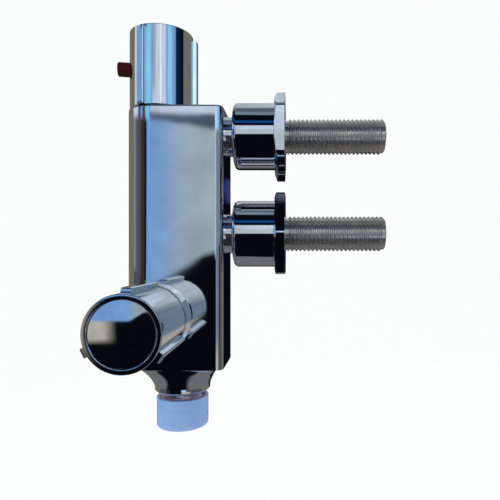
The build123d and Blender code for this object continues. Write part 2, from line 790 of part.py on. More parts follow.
for side, inlet_z in inlets.items():
    axis_plane = Plane(origin=(0, 0, inlet_z), x_dir=(0, 1, 0), z_dir=(1, 0, 0))

    # Wall tail: spigot in the body, polished neck, collar inside the cup, hollow threaded shank
    groove_middle = body_back - tail_o_ring_place
    groove_floor = inlet_port_radius - 2 * tail_o_ring_radius
    with BuildPart() as tail:
        turn(axis_plane, [
            (tail_socket_radius, spigot_start), (spigot_radius, spigot_start),
            (spigot_radius, groove_middle - tail_o_ring_radius),
            (groove_floor, groove_middle - tail_o_ring_radius),
            (groove_floor, groove_middle + tail_o_ring_radius),
            (spigot_radius, groove_middle + tail_o_ring_radius), (spigot_radius, body_back),
            (tail_neck_radius, body_back), (tail_neck_radius, collar_start),
            (tail_collar_radius, collar_start), (tail_collar_radius, collar_start + tail_collar_thickness),
            (shank_radius, collar_start + tail_collar_thickness), (shank_radius, tail_thread_start),
            (tail_radius, tail_thread_start), (tail_radius, tail_end - tail_end_chamfer),
            (tail_radius - tail_end_chamfer, tail_end), (tail_bore_radius, tail_end),
            (tail_bore_radius, socket_end + tail_socket_lead),
            (tail_socket_radius - tail_socket_lead, socket_end), (tail_socket_radius, socket_end),
        ])
    finish_part(tail.part, f"{side}_tail")

    with BuildPart() as tail_o_ring:
        ring(axis_plane, inlet_port_radius - tail_o_ring_radius, tail_o_ring_radius, groove_middle)
    finish_part(tail_o_ring.part, f"{side}_tail_o_ring")

    # Chromed cup that hides the collar, clamped by its floor between neck and nut
    with BuildPart() as cup:
        bar(axis_plane, cup_radius, cup_start, nut_start)
        fillet(cup.edges().filter_by(GeomType.CIRCLE).sort_by(Axis.X)[0], cup_shoulder_radius)
        bar(axis_plane, cup_radius - cup_wall, cup_floor_inner, nut_start, Mode.SUBTRACT)
        bar(axis_plane, tail_neck_radius + slip_gap, cup_start, cup_floor_inner, Mode.SUBTRACT)
    finish_part(cup.part, f"{side}_cup")

    with BuildPart() as cup_washer:
        bar(axis_plane, tail_collar_radius, cup_floor_inner, collar_start)
        bar(axis_plane, tail_neck_radius + slip_gap, cup_floor_inner, collar_start, Mode.SUBTRACT)
    finish_part(cup_washer.part, f"{side}_cup_washer")

    # Hexagonal wall nut; its corners are rounded and chamfered on the cup's side
    nut_plane = swing(axis_plane, nut_turns[side])
    with BuildPart() as wall_nut:
        with BuildSketch(nut_plane.offset(nut_start)) as hexagon:
            RegularPolygon(wall_nut_flats / 2, 6, major_radius=False, rotation=90)
            fillet(hexagon.vertices(), wall_nut_corner_radius)
        extrude(amount=wall_nut_thickness)
        cone_low = wall_nut_flats / 2 - wall_nut_chamfer_inset
        cone_height = wall_nut_thickness + overcut
        with BuildSketch(section_plane(axis_plane), mode=Mode.PRIVATE) as cone:
            with BuildLine():
                Polyline(
                    (0, nut_start - overcut), (cone_low, nut_start - overcut), (cone_low, nut_start),
                    (cone_low + cone_height, nut_start + cone_height),
                    (0, nut_start + cone_height), close=True,
                )
            make_face()
        revolve(cone.sketch, axis=Axis(axis_plane.origin, axis_plane.z_dir), mode=Mode.INTERSECT)
        bar(axis_plane, shank_radius + thread_gap, nut_start, 0, Mode.SUBTRACT)
    finish_part(wall_nut.part, f"{side}_wall_nut")

    with BuildPart() as strainer:
        bar(axis_plane, check_radius, strainer_start, strainer_start + strainer_thickness)
        with BuildSketch(axis_plane.offset(strainer_start)):
            with HexLocations(strainer_hole_pitch / 2, strainer_hole_rows, strainer_hole_rows):
                Circle(strainer_hole_radius)
        extrude(amount=strainer_thickness, mode=Mode.SUBTRACT)
    finish_part(strainer.part, f"{side}_strainer")

    # Non-return valve: housing with its seat at the wall end and a guide for the poppet's stem
    guide_end = check_start + check_guide_thickness
    with BuildPart() as check_housing:
        turn(axis_plane, [
            (poppet_stem_radius + running_gap, check_start), (check_radius, check_start),
            (check_radius, check_end), (check_seat_radius, check_end), (check_seat_radius, seat_face),
            (check_bore, seat_face), (check_bore, guide_end), (poppet_stem_radius + running_gap, guide_end),
        ])
        with BuildSketch(axis_plane.offset(check_start)):
            with PolarLocations((poppet_stem_radius + check_bore) / 2, check_guide_hole_count):
                Circle(check_guide_hole_radius)
        extrude(amount=check_guide_thickness, mode=Mode.SUBTRACT)
    finish_part(check_housing.part, f"{side}_check_housing")

    with BuildPart() as check_poppet:
        turn(axis_plane, [
            (0, check_start - poppet_stem_tail), (poppet_stem_radius, check_start - poppet_stem_tail),
            (poppet_stem_radius, poppet_back), (poppet_radius, poppet_back),
            (poppet_radius, poppet_front - poppet_thickness / 2), (check_seat_radius, poppet_front),
            (0, poppet_front),
        ])
    finish_part(check_poppet.part, f"{side}_check_poppet")

    with BuildPart() as check_spring:
        coil(axis_plane, check_spring_radius, check_spring_wire, guide_end + check_spring_wire,
             poppet_back - check_spring_wire, check_spring_turns)
    finish_part(check_spring.part, f"{side}_check_spring")
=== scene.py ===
"""Looks of an exposed shower mixer valve: chromed casting, handle, knob, cups and threaded wall tails.

All lengths are in metres. +X points at the wall, +Z up, and the flow knob faces -Y.
Each class makes one sub-assembly around the frame and dresses the pieces inside it.
"""

import logging
import math
from collections.abc import Callable
from dataclasses import dataclass
from enum import Enum

import bmesh
import bpy
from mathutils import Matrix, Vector


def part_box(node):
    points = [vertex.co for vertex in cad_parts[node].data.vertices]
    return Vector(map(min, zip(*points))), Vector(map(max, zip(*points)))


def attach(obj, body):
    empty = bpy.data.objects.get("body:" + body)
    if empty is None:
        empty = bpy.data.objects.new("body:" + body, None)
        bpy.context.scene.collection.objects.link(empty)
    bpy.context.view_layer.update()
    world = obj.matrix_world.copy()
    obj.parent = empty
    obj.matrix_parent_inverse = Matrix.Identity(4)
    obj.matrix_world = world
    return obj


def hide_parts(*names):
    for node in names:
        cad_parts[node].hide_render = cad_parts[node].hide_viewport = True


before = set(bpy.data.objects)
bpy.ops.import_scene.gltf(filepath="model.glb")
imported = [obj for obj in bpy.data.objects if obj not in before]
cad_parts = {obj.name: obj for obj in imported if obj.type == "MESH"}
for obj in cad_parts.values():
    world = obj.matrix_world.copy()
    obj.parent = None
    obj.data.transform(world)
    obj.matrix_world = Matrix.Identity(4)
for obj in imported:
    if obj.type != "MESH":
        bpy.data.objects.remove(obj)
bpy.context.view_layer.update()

logging.basicConfig(level=logging.INFO, format="%(message)s")
log = logging.getLogger("shower_valve")

Colour = tuple[float, float, float]
Point = tuple[float, float, float]
Outline = list[tuple[float, float]]
Stops = list[tuple[float, Colour]]
Piece = bpy.types.Object
Socket = bpy.types.NodeSocket
Inputs = dict[str | int, Socket | Colour | float]
Element = bmesh.types.BMVert | bmesh.types.BMEdge | bmesh.types.BMFace
Test = Callable[[Element], bool]

MM = 0.001
MERGE = 0.000002
ROUND_STEPS = 128
CENTRE: Point = (0.0, 0.0, 0.0)
WHITE: Colour = (1.0, 1.0, 1.0)


class Axis(Enum):
    """Directions in which a turned piece can stand, as the turns that bring +Z there."""

    UP = (0.0, 0.0, 0.0)
    TO_WALL = (0.0, math.pi / 2, 0.0)
    TO_USER = (math.pi / 2, 0.0, 0.0)


class Select(Enum):
    """What edit mode selects."""

    POINTS = "VERT"
    EDGES = "EDGE"
    FACES = "FACE"


class Join(Enum):
    """What a tool does to the piece that it meets."""

    ADD = "UNION"
    CUT = "DIFFERENCE"
    TRIM = "INTERSECT"


class Bench:
    """The few moves that every piece is modelled with."""

    @staticmethod
    def clear() -> None:
        """Leave edit mode and deselect everything."""
        if bpy.context.object and bpy.context.object.mode != "OBJECT":
            bpy.ops.object.mode_set(mode="OBJECT")
        bpy.ops.object.select_all(action="DESELECT")

    @staticmethod
    def take(piece: Piece) -> None:
        """Leave edit mode and make one piece the active one, selected alone."""
        Bench.clear()
        piece.select_set(True)
        bpy.context.view_layer.objects.active = piece

    @staticmethod
    def edit(select: Select = Select.POINTS) -> None:
        """Enter edit mode with everything selected.

        Args:
            select: the kind of element that is selected.
        """
        bpy.ops.object.mode_set(mode="EDIT")
        bpy.ops.mesh.select_mode(type=select.value)
        bpy.ops.mesh.select_all(action="SELECT")

    @staticmethod
    def pick(piece: Piece, select: Select, wanted: Test) -> None:
        """Select the elements of a piece in edit mode that pass a test.

        Args:
            piece: the piece that is being edited.
            select: the kind of element.
            wanted: says of one element whether it is selected.
        """
        bpy.ops.mesh.select_mode(type=select.value)
        bpy.ops.mesh.select_all(action="DESELECT")
        mesh = bmesh.from_edit_mesh(piece.data)
        for element in {Select.EDGES: mesh.edges, Select.FACES: mesh.faces}[select]:
            if wanted(element):
                element.select_set(True)
        mesh.select_flush_mode()
        bmesh.update_edit_mesh(piece.data)

    @staticmethod
    def round_edges(piece: Piece, wanted: Test, width: float, steps: int) -> None:
        """Round the wanted edges of a piece in edit mode to a width, with some faces across it."""
        Bench.pick(piece, Select.EDGES, wanted)
        bpy.ops.mesh.bevel(offset=width, segments=steps, affect="EDGES")

    @staticmethod
    def settle(piece: Piece, place: Point = CENTRE, turn: Point = CENTRE) -> None:
        """Turn and move a piece, and put that and its scale into its mesh.

        Args:
            piece: the piece.
            place: where its origin goes.
            turn: its turn about X, Y and Z.
        """
        piece.location = place
        piece.rotation_euler = turn
        Bench.take(piece)
        bpy.ops.object.transform_apply(location=True, rotation=True, scale=True)

    @staticmethod
    def apply(piece: Piece, modifier: bpy.types.Modifier) -> None:
        """Apply one modifier of a piece."""
        Bench.take(piece)
        bpy.ops.object.modifier_apply(modifier=modifier.name)

    @staticmethod
    def clean(piece: Piece) -> None:
        """Merge doubles and point all faces outwards.

        Args:
            piece: the piece.
        """
        Bench.take(piece)
        Bench.edit()
        bpy.ops.mesh.remove_doubles(threshold=MERGE)
        bpy.ops.mesh.normals_make_consistent(inside=False)
        bpy.ops.object.mode_set(mode="OBJECT")

    @staticmethod
    def soften(piece: Piece, width: float, steps: int = 3, angle: float = 32.0) -> None:
        """Round every edge that is sharper than an angle.

        Args:
            piece: the piece.
            width: width of the rounding.
            steps: faces across the rounding.
            angle: smallest edge angle that is rounded, in degrees.
        """
        bevel = piece.modifiers.new("soften", "BEVEL")
        bevel.width = width
        bevel.segments = steps
        bevel.limit_method = "ANGLE"
        bevel.angle_limit = math.radians(angle)
        bevel.use_clamp_overlap = True
        Bench.apply(piece, bevel)

    @staticmethod
    def combine(piece: Piece, tool: Piece, join: Join) -> None:
        """Use a tool on a piece and remove the tool.

        Args:
            piece: the piece that stays.
            tool: the piece that is used up.
            join: what the tool does.
        """
        boolean = piece.modifiers.new("combine", "BOOLEAN")
        boolean.object = tool
        boolean.operation = join.value
        boolean.solver = "EXACT"
        Bench.apply(piece, boolean)
        bpy.data.objects.remove(tool)

    @staticmethod
    def smooth(piece: Piece, angle: float = 30.0) -> None:
        """Shade a piece smooth, with its large faces kept true.

        Args:
            piece: the piece.
            angle: edge angle up to which it is smooth, in degrees.
        """
        Bench.take(piece)
        bpy.ops.object.shade_smooth_by_angle(angle=math.radians(angle))
        weigh = piece.modifiers.new("weigh", "WEIGHTED_NORMAL")
        weigh.mode = "FACE_AREA"
        weigh.weight = 100
        weigh.keep_sharp = True
        Bench.apply(piece, weigh)
        Bench.clear()

    @staticmethod
    def turned(name: str, outline: Outline, ring: bool = False, origin: Point = CENTRE,
               axis: Axis = Axis.UP, steps: int = ROUND_STEPS) -> Piece:
        """Make a round piece: a circle is extruded and resized from point to point of an outline.

        Args:
            name: name of the piece.
            outline: (radius, height) points in order; none lies on the axis.
            ring: True closes the outline on itself, False closes both ends with a face.
            origin: where height 0 of the outline goes.
            axis: the direction that height grows in.
            steps: points round each circle.

        Returns:
            The new piece.
        """
        Bench.clear()
        radius, height = outline[0]
        bpy.ops.mesh.primitive_circle_add(vertices=steps, radius=radius)
        piece = bpy.context.active_object
        piece.name = name
        Bench.edit()
        bpy.ops.transform.translate(value=(0, 0, height))
        if not ring:
            bpy.ops.mesh.edge_face_add()
            bpy.ops.mesh.select_all(action="SELECT")
            Bench.pick(piece, Select.EDGES, lambda edge: True)
        for next_radius, next_height in outline[1:] + (outline[:1] if ring else []):
            bpy.ops.mesh.extrude_edges_move(TRANSFORM_OT_translate={"value": (0, 0, next_height - height)})
            share = next_radius / radius
            bpy.ops.transform.resize(value=(share, share, 1), center_override=(0, 0, next_height))
            radius, height = next_radius, next_height
        if not ring:
            bpy.ops.mesh.edge_face_add()
        bpy.ops.object.mode_set(mode="OBJECT")
        Bench.settle(piece, origin, axis.value)
        Bench.clean(piece)
        return piece

    @staticmethod
    def block(name: str, low: Point, high: Point) -> Piece:
        """Make a block between two corners.

        Args:
            name: name of the block.
            low: its least corner.
            high: its greatest corner.

        Returns:
            The block.
        """
        Bench.clear()
        bpy.ops.mesh.primitive_cube_add(size=1)
        piece = bpy.context.active_object
        piece.name = name
        piece.scale = [b - a for a, b in zip(low, high)]
        Bench.settle(piece, [(a + b) / 2 for a, b in zip(low, high)])
        return piece

    @staticmethod
    def quarter(radius: float, height: float, size: float, steps: int) -> Outline:
        """List the outline of a rounded edge that starts at a height and curves out to a radius."""
        angles = [math.pi / 2 * index / steps for index in range(steps + 1)]
        return [(radius - size * (1 - math.sin(angle)), height + size * (1 - math.cos(angle)))
                for angle in angles]


class Graph:
    """The nodes of a material or of the world while they are built."""

    def __init__(self, owner: bpy.types.Material | bpy.types.World) -> None:
        """Open the nodes of a material or of the world."""
        owner.use_nodes = True
        self.nodes = owner.node_tree.nodes
        self.links = owner.node_tree.links

    def feed(self, node: bpy.types.Node, inputs: Inputs) -> bpy.types.Node:
        """Link sockets to a node's inputs and write colours and numbers on them.

        Args:
            node: the node.
            inputs: what each input gets, under its name or number.

        Returns:
            The node.
        """
        for name, value in inputs.items():
            if isinstance(value, Socket):
                self.links.new(value, node.inputs[name])
            else:
                node.inputs[name].default_value = (*value, 1) if isinstance(value, tuple) else value
        return node

    def add(self, kind: str, inputs: Inputs | None = None, data_type: str = "") -> bpy.types.Node:
        """Add a node.

        Args:
            kind: its type, without ShaderNode.
            inputs: what its inputs get.
            data_type: what it works on, where it has a choice.

        Returns:
            The node.
        """
        node = self.nodes.new(f"ShaderNode{kind}")
        if data_type:
            node.data_type = data_type
        return self.feed(node, inputs or {})

    def reckon(self, operation: str, *values: Socket | float) -> Socket:
        """Add a math node.

        Args:
            operation: what it does.
            values: sockets or numbers that it takes.

        Returns:
            Its result.
        """
        node = self.add("Math", dict(enumerate(values)))
        node.operation = operation
        return node.outputs[0]

    def stretch(self, value: Socket, low: float, high: float, new_low: float = 0.0,
                new_high: float = 1.0) -> Socket:
        """Map a value's range from low to high onto one from new_low to new_high, held at both ends."""
        return self.add("MapRange", {"Value": value, "From Min": low, "From Max": high, "To Min": new_low,
                                     "To Max": new_high}).outputs["Result"]

    def noise(self, place: Socket, size: float, detail: float = 2.0) -> Socket:
        """Add soft noise over some coordinates, with patches of a size, refined as detail says."""
        return self.add("TexNoise", {"Vector": place, "Scale": 1 / size, "Detail": detail}).outputs["Fac"]

    def bumps(self, height: Socket, depth: float, below: Socket | None) -> Socket:
        """Raise bumps over the normal below them.

        Args:
            height: shape of the bumps, from 0 to 1.
            depth: height of the bumps.
            below: the normal below, or None.

        Returns:
            The new normal.
        """
        inputs = {"Height": height, "Strength": 1, "Distance": depth}
        if below:
            inputs["Normal"] = below
        return self.add("Bump", inputs).outputs["Normal"]

    def ramp(self, stops: Stops, around: Socket) -> Socket:
        """Add colours round the room.

        Args:
            stops: (angle, colour) pairs in order, from -180 to 180 degrees.
            around: the angle as a share of the whole turn.

        Returns:
            The colour.
        """
        node = self.add("ValToRGB", {"Fac": around})
        elements = node.color_ramp.elements
        while len(elements) < len(stops):
            elements.new(1.0)
        for element, (angle, colour) in zip(elements, stops):
            element.position = angle / 360 + 0.5
            element.color = (*colour, 1)
        return node.outputs["Color"]

    def end(self, output: str, share: Socket, first: Socket, second: Socket) -> None:
        """Mix a share of the second shader into the first and end in the named output node."""
        mix = self.add("MixShader", {"Fac": share, 1: first, 2: second})
        self.feed(self.nodes[output], {"Surface": mix.outputs["Shader"]})


@dataclass(frozen=True)
class Finish:
    """One procedural finish: two colours in soft clouds, an uneven gloss, a fine grain and a slow wave.

    Sizes are in metres: cloud is the width of a patch of colour, grain the width of a bump.
    """

    name: str
    slot: str
    colour: Colour
    cloud_colour: Colour
    metallic: float = 0.0
    roughness: float = 0.3
    roughness_spread: float = 0.1
    cloud: float = 0.02
    cloud_detail: float = 4.0
    cloud_low: float = 0.35
    cloud_high: float = 0.65
    grain: float = 0.0005
    grain_depth: float = 0.000004
    wave: float = 0.0
    wave_depth: float = 0.0
    coat: float = 0.0
    subsurface: float = 0.0
    specular: float = 0.5

    def material(self) -> bpy.types.Material:
        """Build the finish as a node material, or find it if it is built already.

        Returns:
            The material.
        """
        made = bpy.data.materials.get(self.name)
        if made:
            return made
        made = bpy.data.materials.new(self.name)
        graph = Graph(made)
        place = graph.add("TexCoord").outputs["Object"]
        clouds = graph.noise(place, self.cloud, self.cloud_detail)
        colours = graph.add("Mix", {"Factor": clouds, "A": self.colour, "B": self.cloud_colour}, "RGBA")
        gloss = graph.stretch(clouds, self.cloud_low, self.cloud_high, self.roughness,
                              self.roughness + self.roughness_spread)
        shader = graph.feed(graph.nodes["Principled BSDF"], {
            "Base Color": colours.outputs["Result"], "Roughness": gloss, "Metallic": self.metallic,
            "Coat Weight": self.coat, "Subsurface Weight": self.subsurface,
            "Specular IOR Level": self.specular,
        })
        normal = None
        for size, depth in ((self.grain, self.grain_depth), (self.wave, self.wave_depth)):
            if depth:
                normal = graph.bumps(graph.noise(place, size), depth, normal)
        graph.feed(shader, {"Normal": self.detail(graph, place, normal)})
        return made

    def detail(self, graph: Graph, place: Socket, normal: Socket) -> Socket:
        """Add what only this finish has and return the last normal; the plain finish adds nothing."""
        return normal


@dataclass(frozen=True)
class Ribbed(Finish):
    """A finish with fine rings round one axis, as turning or moulding leaves."""

    direction: str = "Z"
    pitch: float = 0.0006
    ring_depth: float = 0.000008
    unevenness: float = 0.4
    bands_in_unit: float = 20.0

    def detail(self, graph: Graph, place: Socket, normal: Socket) -> Socket:
        """Add the rings as bands along the axis.

        Args:
            graph: nodes of the material.
            place: its texture coordinates.
            normal: its normal so far.

        Returns:
            The normal with the rings.
        """
        rings = graph.add("TexWave", {"Vector": place, "Scale": 1 / self.pitch / self.bands_in_unit,
                                      "Distortion": self.unevenness})
        rings.wave_type = "BANDS"
        rings.bands_direction = self.direction
        return graph.bumps(rings.outputs["Fac"], self.ring_depth, normal)


@dataclass(frozen=True)
class PartPolished(Finish):
    """A plated finish that is polished bright up to a place along X and left plain beyond it."""

    polished_to: float = -0.02
    fade: float = 0.002
    bright_colour: Colour = (0.82, 0.84, 0.86)
    bright_roughness: float = 0.03

    def detail(self, graph: Graph, place: Socket, normal: Socket) -> Socket:
        """Mix the bright colour and gloss in along X.

        Args:
            graph: nodes of the material.
            place: its texture coordinates.
            normal: its normal so far.

        Returns:
            The same normal.
        """
        along = graph.add("SeparateXYZ", {0: place}).outputs["X"]
        bright = graph.stretch(along, self.polished_to, self.polished_to + self.fade, 1.0, 0.0)
        shader = graph.nodes["Principled BSDF"]
        for socket, polished, kind in (("Base Color", self.bright_colour, "RGBA"),
                                       ("Roughness", self.bright_roughness, "FLOAT")):
            plain = shader.inputs[socket].links[0].from_socket
            mix = graph.add("Mix", {"Factor": bright, "A": plain, "B": polished}, kind)
            graph.feed(shader, {socket: mix.outputs["Result"]})
        return normal


CHROME = Finish("chrome_plate", "chrome", (0.83, 0.84, 0.86), (0.79, 0.80, 0.83), metallic=1.0,
                roughness=0.02, roughness_spread=0.035, cloud=0.025, grain=0.0015, grain_depth=0.0000006,
                wave=0.03, wave_depth=0.00005)
TAIL_METAL = PartPolished("plated_thread", "tail_metal", (0.78, 0.75, 0.70), (0.56, 0.53, 0.49),
                          metallic=0.93, roughness=0.16, roughness_spread=0.16, cloud=0.006, grain=0.0006)
BRASS = Ribbed("turned_brass", "brass", (0.72, 0.52, 0.22), (0.60, 0.42, 0.18), metallic=1.0, roughness=0.22,
               roughness_spread=0.12, cloud=0.008)
COPPER = Ribbed("drawn_copper", "copper_alloy", (0.70, 0.36, 0.22), (0.55, 0.28, 0.18), metallic=1.0,
                roughness=0.25, roughness_spread=0.12, cloud=0.008)
STEEL = Finish("stainless_steel", "steel", (0.58, 0.58, 0.58), (0.48, 0.48, 0.49), metallic=1.0,
               roughness=0.24, roughness_spread=0.12, cloud=0.005, grain=0.0003)
RED_PLASTIC = Finish("dark_red_plastic", "red_plastic", (0.060, 0.002, 0.005), (0.045, 0.002, 0.004),
                     roughness=0.42, cloud=0.004, grain=0.0004, grain_depth=0.000006, specular=0.15)
BLUE_PLASTIC = Finish("blue_plastic", "blue_plastic", (0.018, 0.055, 0.55), (0.012, 0.038, 0.42),
                      roughness=0.4, cloud=0.006, grain=0.0004, grain_depth=0.000006)
CAP_PLASTIC = Ribbed("milky_cap_plastic", "cap_plastic", (0.27, 0.41, 0.74), (0.32, 0.45, 0.74),
                     roughness=0.26, roughness_spread=0.14, cloud=0.012, subsurface=0.25, pitch=0.0021,
                     ring_depth=0.00002)
WHITE_PLASTIC = Finish("white_plastic", "white_plastic", (0.74, 0.74, 0.71), (0.68, 0.68, 0.66),
                       roughness=0.42, cloud=0.008)
RUBBER = Finish("black_rubber", "rubber", (0.022, 0.022, 0.024), (0.035, 0.035, 0.036), roughness=0.6,
                cloud=0.004, grain=0.0003, grain_depth=0.00001)
CERAMIC = Finish("lapped_ceramic", "ceramic", (0.84, 0.83, 0.79), (0.78, 0.77, 0.74), roughness=0.12,
                 cloud=0.01)


def dress(piece: Piece, finish: Finish) -> None:
    """Give a piece its finish.

    Args:
        piece: the piece.
        finish: its finish.
    """
    piece.data.materials.clear()
    piece.data.materials.append(finish.material())


def place_piece(piece: Piece, body: str, finish: Finish, *nodes: str) -> None:
    """Dress a finished piece, let it ride on a body and let it stand for its nodes.

    Args:
        piece: the finished piece.
        body: the body that it moves with.
        finish: its finish.
        nodes: the nodes that it stands for.
    """
    dress(piece, finish)
    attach(piece, body)
    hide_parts(*nodes)
    log.info("made %s for %s: %d faces", piece.name, body, len(piece.data.polygons))


@dataclass(frozen=True)
class Thread:
    """An outside thread: a core with one helical ridge joined to it."""

    crest: float
    root: float
    pitch: float
    low: float
    high: float
    steps: int = 56
    sunk_share: float = 0.25
    half_foot_share: float = 0.49
    half_crest_share: float = 0.09

    def ridge(self, name: str) -> Piece:
        """Make the helical ridge about Z, closed at both ends.

        Args:
            name: name of the ridge.

        Returns:
            The ridge.
        """
        Bench.clear()
        bpy.ops.mesh.primitive_plane_add(size=1)
        piece = bpy.context.active_object
        piece.name = name
        foot = self.root - (self.crest - self.root) * self.sunk_share
        half_foot = self.pitch * self.half_foot_share
        half_crest = self.pitch * self.half_crest_share
        corners = ((foot, -half_foot), (foot, half_foot), (self.crest, half_crest), (self.crest, -half_crest))
        Bench.edit()
        mesh = bmesh.from_edit_mesh(piece.data)
        mesh.faces.ensure_lookup_table()
        start = self.low + half_foot
        face = mesh.faces[0]
        for vertex, (radius, height) in zip([corner.vert for corner in face.loops], corners):
            vertex.co = (radius, 0.0, start + height)
        mesh.faces.remove(face)
        bmesh.update_edit_mesh(piece.data)
        bpy.ops.object.mode_set(mode="OBJECT")
        turns = (self.high - self.low - 2 * half_foot) / self.pitch
        screw = piece.modifiers.new("wind", "SCREW")
        screw.axis = "Z"
        screw.angle = 2 * math.pi * turns
        screw.screw_offset = self.pitch * turns
        screw.steps = round(self.steps * turns)
        screw.render_steps = screw.steps
        screw.use_merge_vertices = False
        Bench.apply(piece, screw)
        Bench.edit(Select.EDGES)
        bpy.ops.mesh.select_all(action="DESELECT")
        bpy.ops.mesh.select_non_manifold()
        bpy.ops.mesh.edge_face_add()
        bpy.ops.object.mode_set(mode="OBJECT")
        Bench.clean(piece)
        return piece


@dataclass
class Casting:
    """The chromed body casting, with its boss, bell, chambers and outlet thread."""

    front_radius: float = 18.0 * MM
    front_steps: int = 28
    back_radius: float = 4.5 * MM
    back_steps: int = 10
    top_edge: float = 1.2 * MM
    top_steps: int = 5
    body_bottom: float = -110.0 * MM
    body_back: float = -36.0 * MM
    half_width: float = 20.0 * MM
    chamber_x: float = -76.5 * MM
    chamber_radius: float = 13.8 * MM
    chamber_floor: float = -44.0 * MM
    chamber_mouth_radius: float = 15.6 * MM
    chamber_mouth_floor: float = 36.6 * MM
    flow_x: float = -74.5 * MM
    flow_z: float = -79.5 * MM
    flow_chamber_radius: float = 11.2 * MM
    flow_chamber_floor: float = -4.0 * MM
    boss_base_radius: float = 20.4 * MM
    boss_base_rise: float = 0.8 * MM
    boss_end_radius: float = 19.4 * MM
    boss_end: float = 28.4 * MM
    boss_step_radius: float = 17.6 * MM
    boss_step_end: float = 29.6 * MM
    boss_edge: float = 0.4 * MM
    outlet_x: float = -63.5 * MM
    neck_radius: float = 16.7 * MM
    neck_top: float = -123.5 * MM
    neck_bottom: float = -126.3 * MM
    neck_chamfer: float = 1.6 * MM
    bell_sections: int = 14
    bell_cuts: int = 19
    bell_fullness: float = 0.75
    outlet_bore_radius: float = 9.0 * MM
    outlet_crest: float = 13.2 * MM
    outlet_root: float = 12.1 * MM
    outlet_pitch: float = 1.81 * MM
    outlet_lead: float = 0.3 * MM
    outlet_run_out: float = 0.1 * MM
    outlet_chamfer: float = 0.8 * MM
    outlet_overlap: float = 0.5 * MM
    port_radius: float = 10.2 * MM
    port_depth: float = 12.0 * MM
    port_spacing: float = 60.0 * MM
    overcut: float = 1.0 * MM

    def make(self) -> None:
        """Build the casting and dress it."""
        low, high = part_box("valve_body")
        body = self.block(low.x, high.z)
        self.bell(body)
        Bench.clean(body)
        Bench.combine(body, self.boss(), Join.ADD)
        for cutter in self.cutters(high.z):
            Bench.combine(body, cutter, Join.CUT)
        Bench.combine(body, self.outlet_thread(low.z), Join.ADD)
        Bench.clean(body)
        Bench.smooth(body)
        place_piece(body, "valve", CHROME, "valve_body")

    def block(self, front: float, top: float) -> Piece:
        """Make the upright block with its large front corners and small back ones.

        Args:
            front: X of the front.
            top: Z of the top.

        Returns:
            The block, in edit mode.
        """
        body = Bench.block("body_casting", (front, -self.half_width, self.body_bottom),
                           (self.body_back, self.half_width, top))
        Bench.edit(Select.EDGES)
        middle = (front + self.body_back) / 2

        def upright(edge: bmesh.types.BMEdge) -> bool:
            """Whether an edge stands upright."""
            return abs(edge.verts[0].co.z - edge.verts[1].co.z) > self.half_width

        def back_corner(edge: bmesh.types.BMEdge) -> bool:
            """Whether an edge is an upright corner of the back."""
            point = edge.verts[0].co
            at_back = point.x > self.body_back - MERGE and abs(abs(point.y) - self.half_width) < MERGE
            return upright(edge) and edge.is_manifold and at_back

        Bench.round_edges(body, lambda edge: upright(edge) and edge.verts[0].co.x < middle,
                          self.front_radius, self.front_steps)
        Bench.round_edges(body, back_corner, self.back_radius, self.back_steps)
        Bench.round_edges(body, lambda edge: all(vertex.co.z > top - MERGE for vertex in edge.verts),
                          self.top_edge, self.top_steps)
        return body

    def bell(self, body: Piece) -> None:
        """Draw the bell out of the bottom face: its sides run on from the block, its ends pull in fast.

        Args:
            body: the block in edit mode.
        """
        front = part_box("valve_body")[0].x

        def lowest(part: bmesh.types.BMEdge | bmesh.types.BMFace) -> bool:
            """Whether an edge or face lies in the bottom of the block."""
            return all(vertex.co.z < self.body_bottom + MERGE for vertex in part.verts)

        Bench.pick(body, Select.EDGES, lambda edge: lowest(edge) and edge.calc_length() > self.back_radius)
        bpy.ops.mesh.subdivide(number_cuts=self.bell_cuts)
        Bench.pick(body, Select.FACES, lowest)
        start_x = (front + self.body_back) / 2
        start_reach = (self.body_back - front) / 2
        height, left = self.body_bottom, 1.0
        for index in range(1, self.bell_sections + 1):
            angle = math.pi / 2 * index / self.bell_sections
            drawn = max(1 - math.sin(angle), 0.0) ** self.bell_fullness
            fall = 1 - math.cos(angle)
            side = 1 - fall * fall * (3 - 2 * fall)
            next_height = self.body_bottom - (self.body_bottom - self.neck_top) * fall
            bpy.ops.mesh.extrude_region_move(TRANSFORM_OT_translate={"value": (0, 0, next_height - height)})
            height = next_height
            centre = self.ring_box(body)[0]
            bpy.ops.transform.tosphere(value=1 - drawn / left, center_override=centre)
            left = max(drawn, MERGE)
            reach = (self.neck_radius + drawn * (start_reach - self.neck_radius),
                     self.neck_radius + side * (self.half_width - self.neck_radius))
            self.fit_ring(body, self.outlet_x + drawn * (start_x - self.outlet_x), reach)
        steps = (
            (self.neck_radius, self.neck_bottom + self.neck_chamfer),
            (self.neck_radius - self.neck_chamfer, self.neck_bottom),
        )
        for radius, next_height in steps:
            bpy.ops.mesh.extrude_region_move(TRANSFORM_OT_translate={"value": (0, 0, next_height - height)})
            height = next_height
            self.fit_ring(body, self.outlet_x, (radius, radius))

    @staticmethod
    def ring_box(body: Piece) -> tuple[Vector, Vector]:
        """Measure the box round the selected points.

        Args:
            body: the piece in edit mode.

        Returns:
            Its middle and its half lengths.
        """
        mesh = bmesh.from_edit_mesh(body.data)
        points = [vertex.co for vertex in mesh.verts if vertex.select]
        least = Vector([min(point[axis] for point in points) for axis in range(3)])
        most = Vector([max(point[axis] for point in points) for axis in range(3)])
        return (least + most) / 2, (most - least) / 2

    def fit_ring(self, body: Piece, x: float, reach: tuple[float, float]) -> None:
        """Move and resize the selected ring.

        Args:
            body: the piece in edit mode.
            x: where the middle of the ring goes.
            reach: half lengths of the ring along X and Y.
        """
        centre, half = self.ring_box(body)
        bpy.ops.transform.resize(value=(reach[0] / half.x, reach[1] / half.y, 1), center_override=centre)
        bpy.ops.transform.translate(value=(x - centre.x, 0, 0))

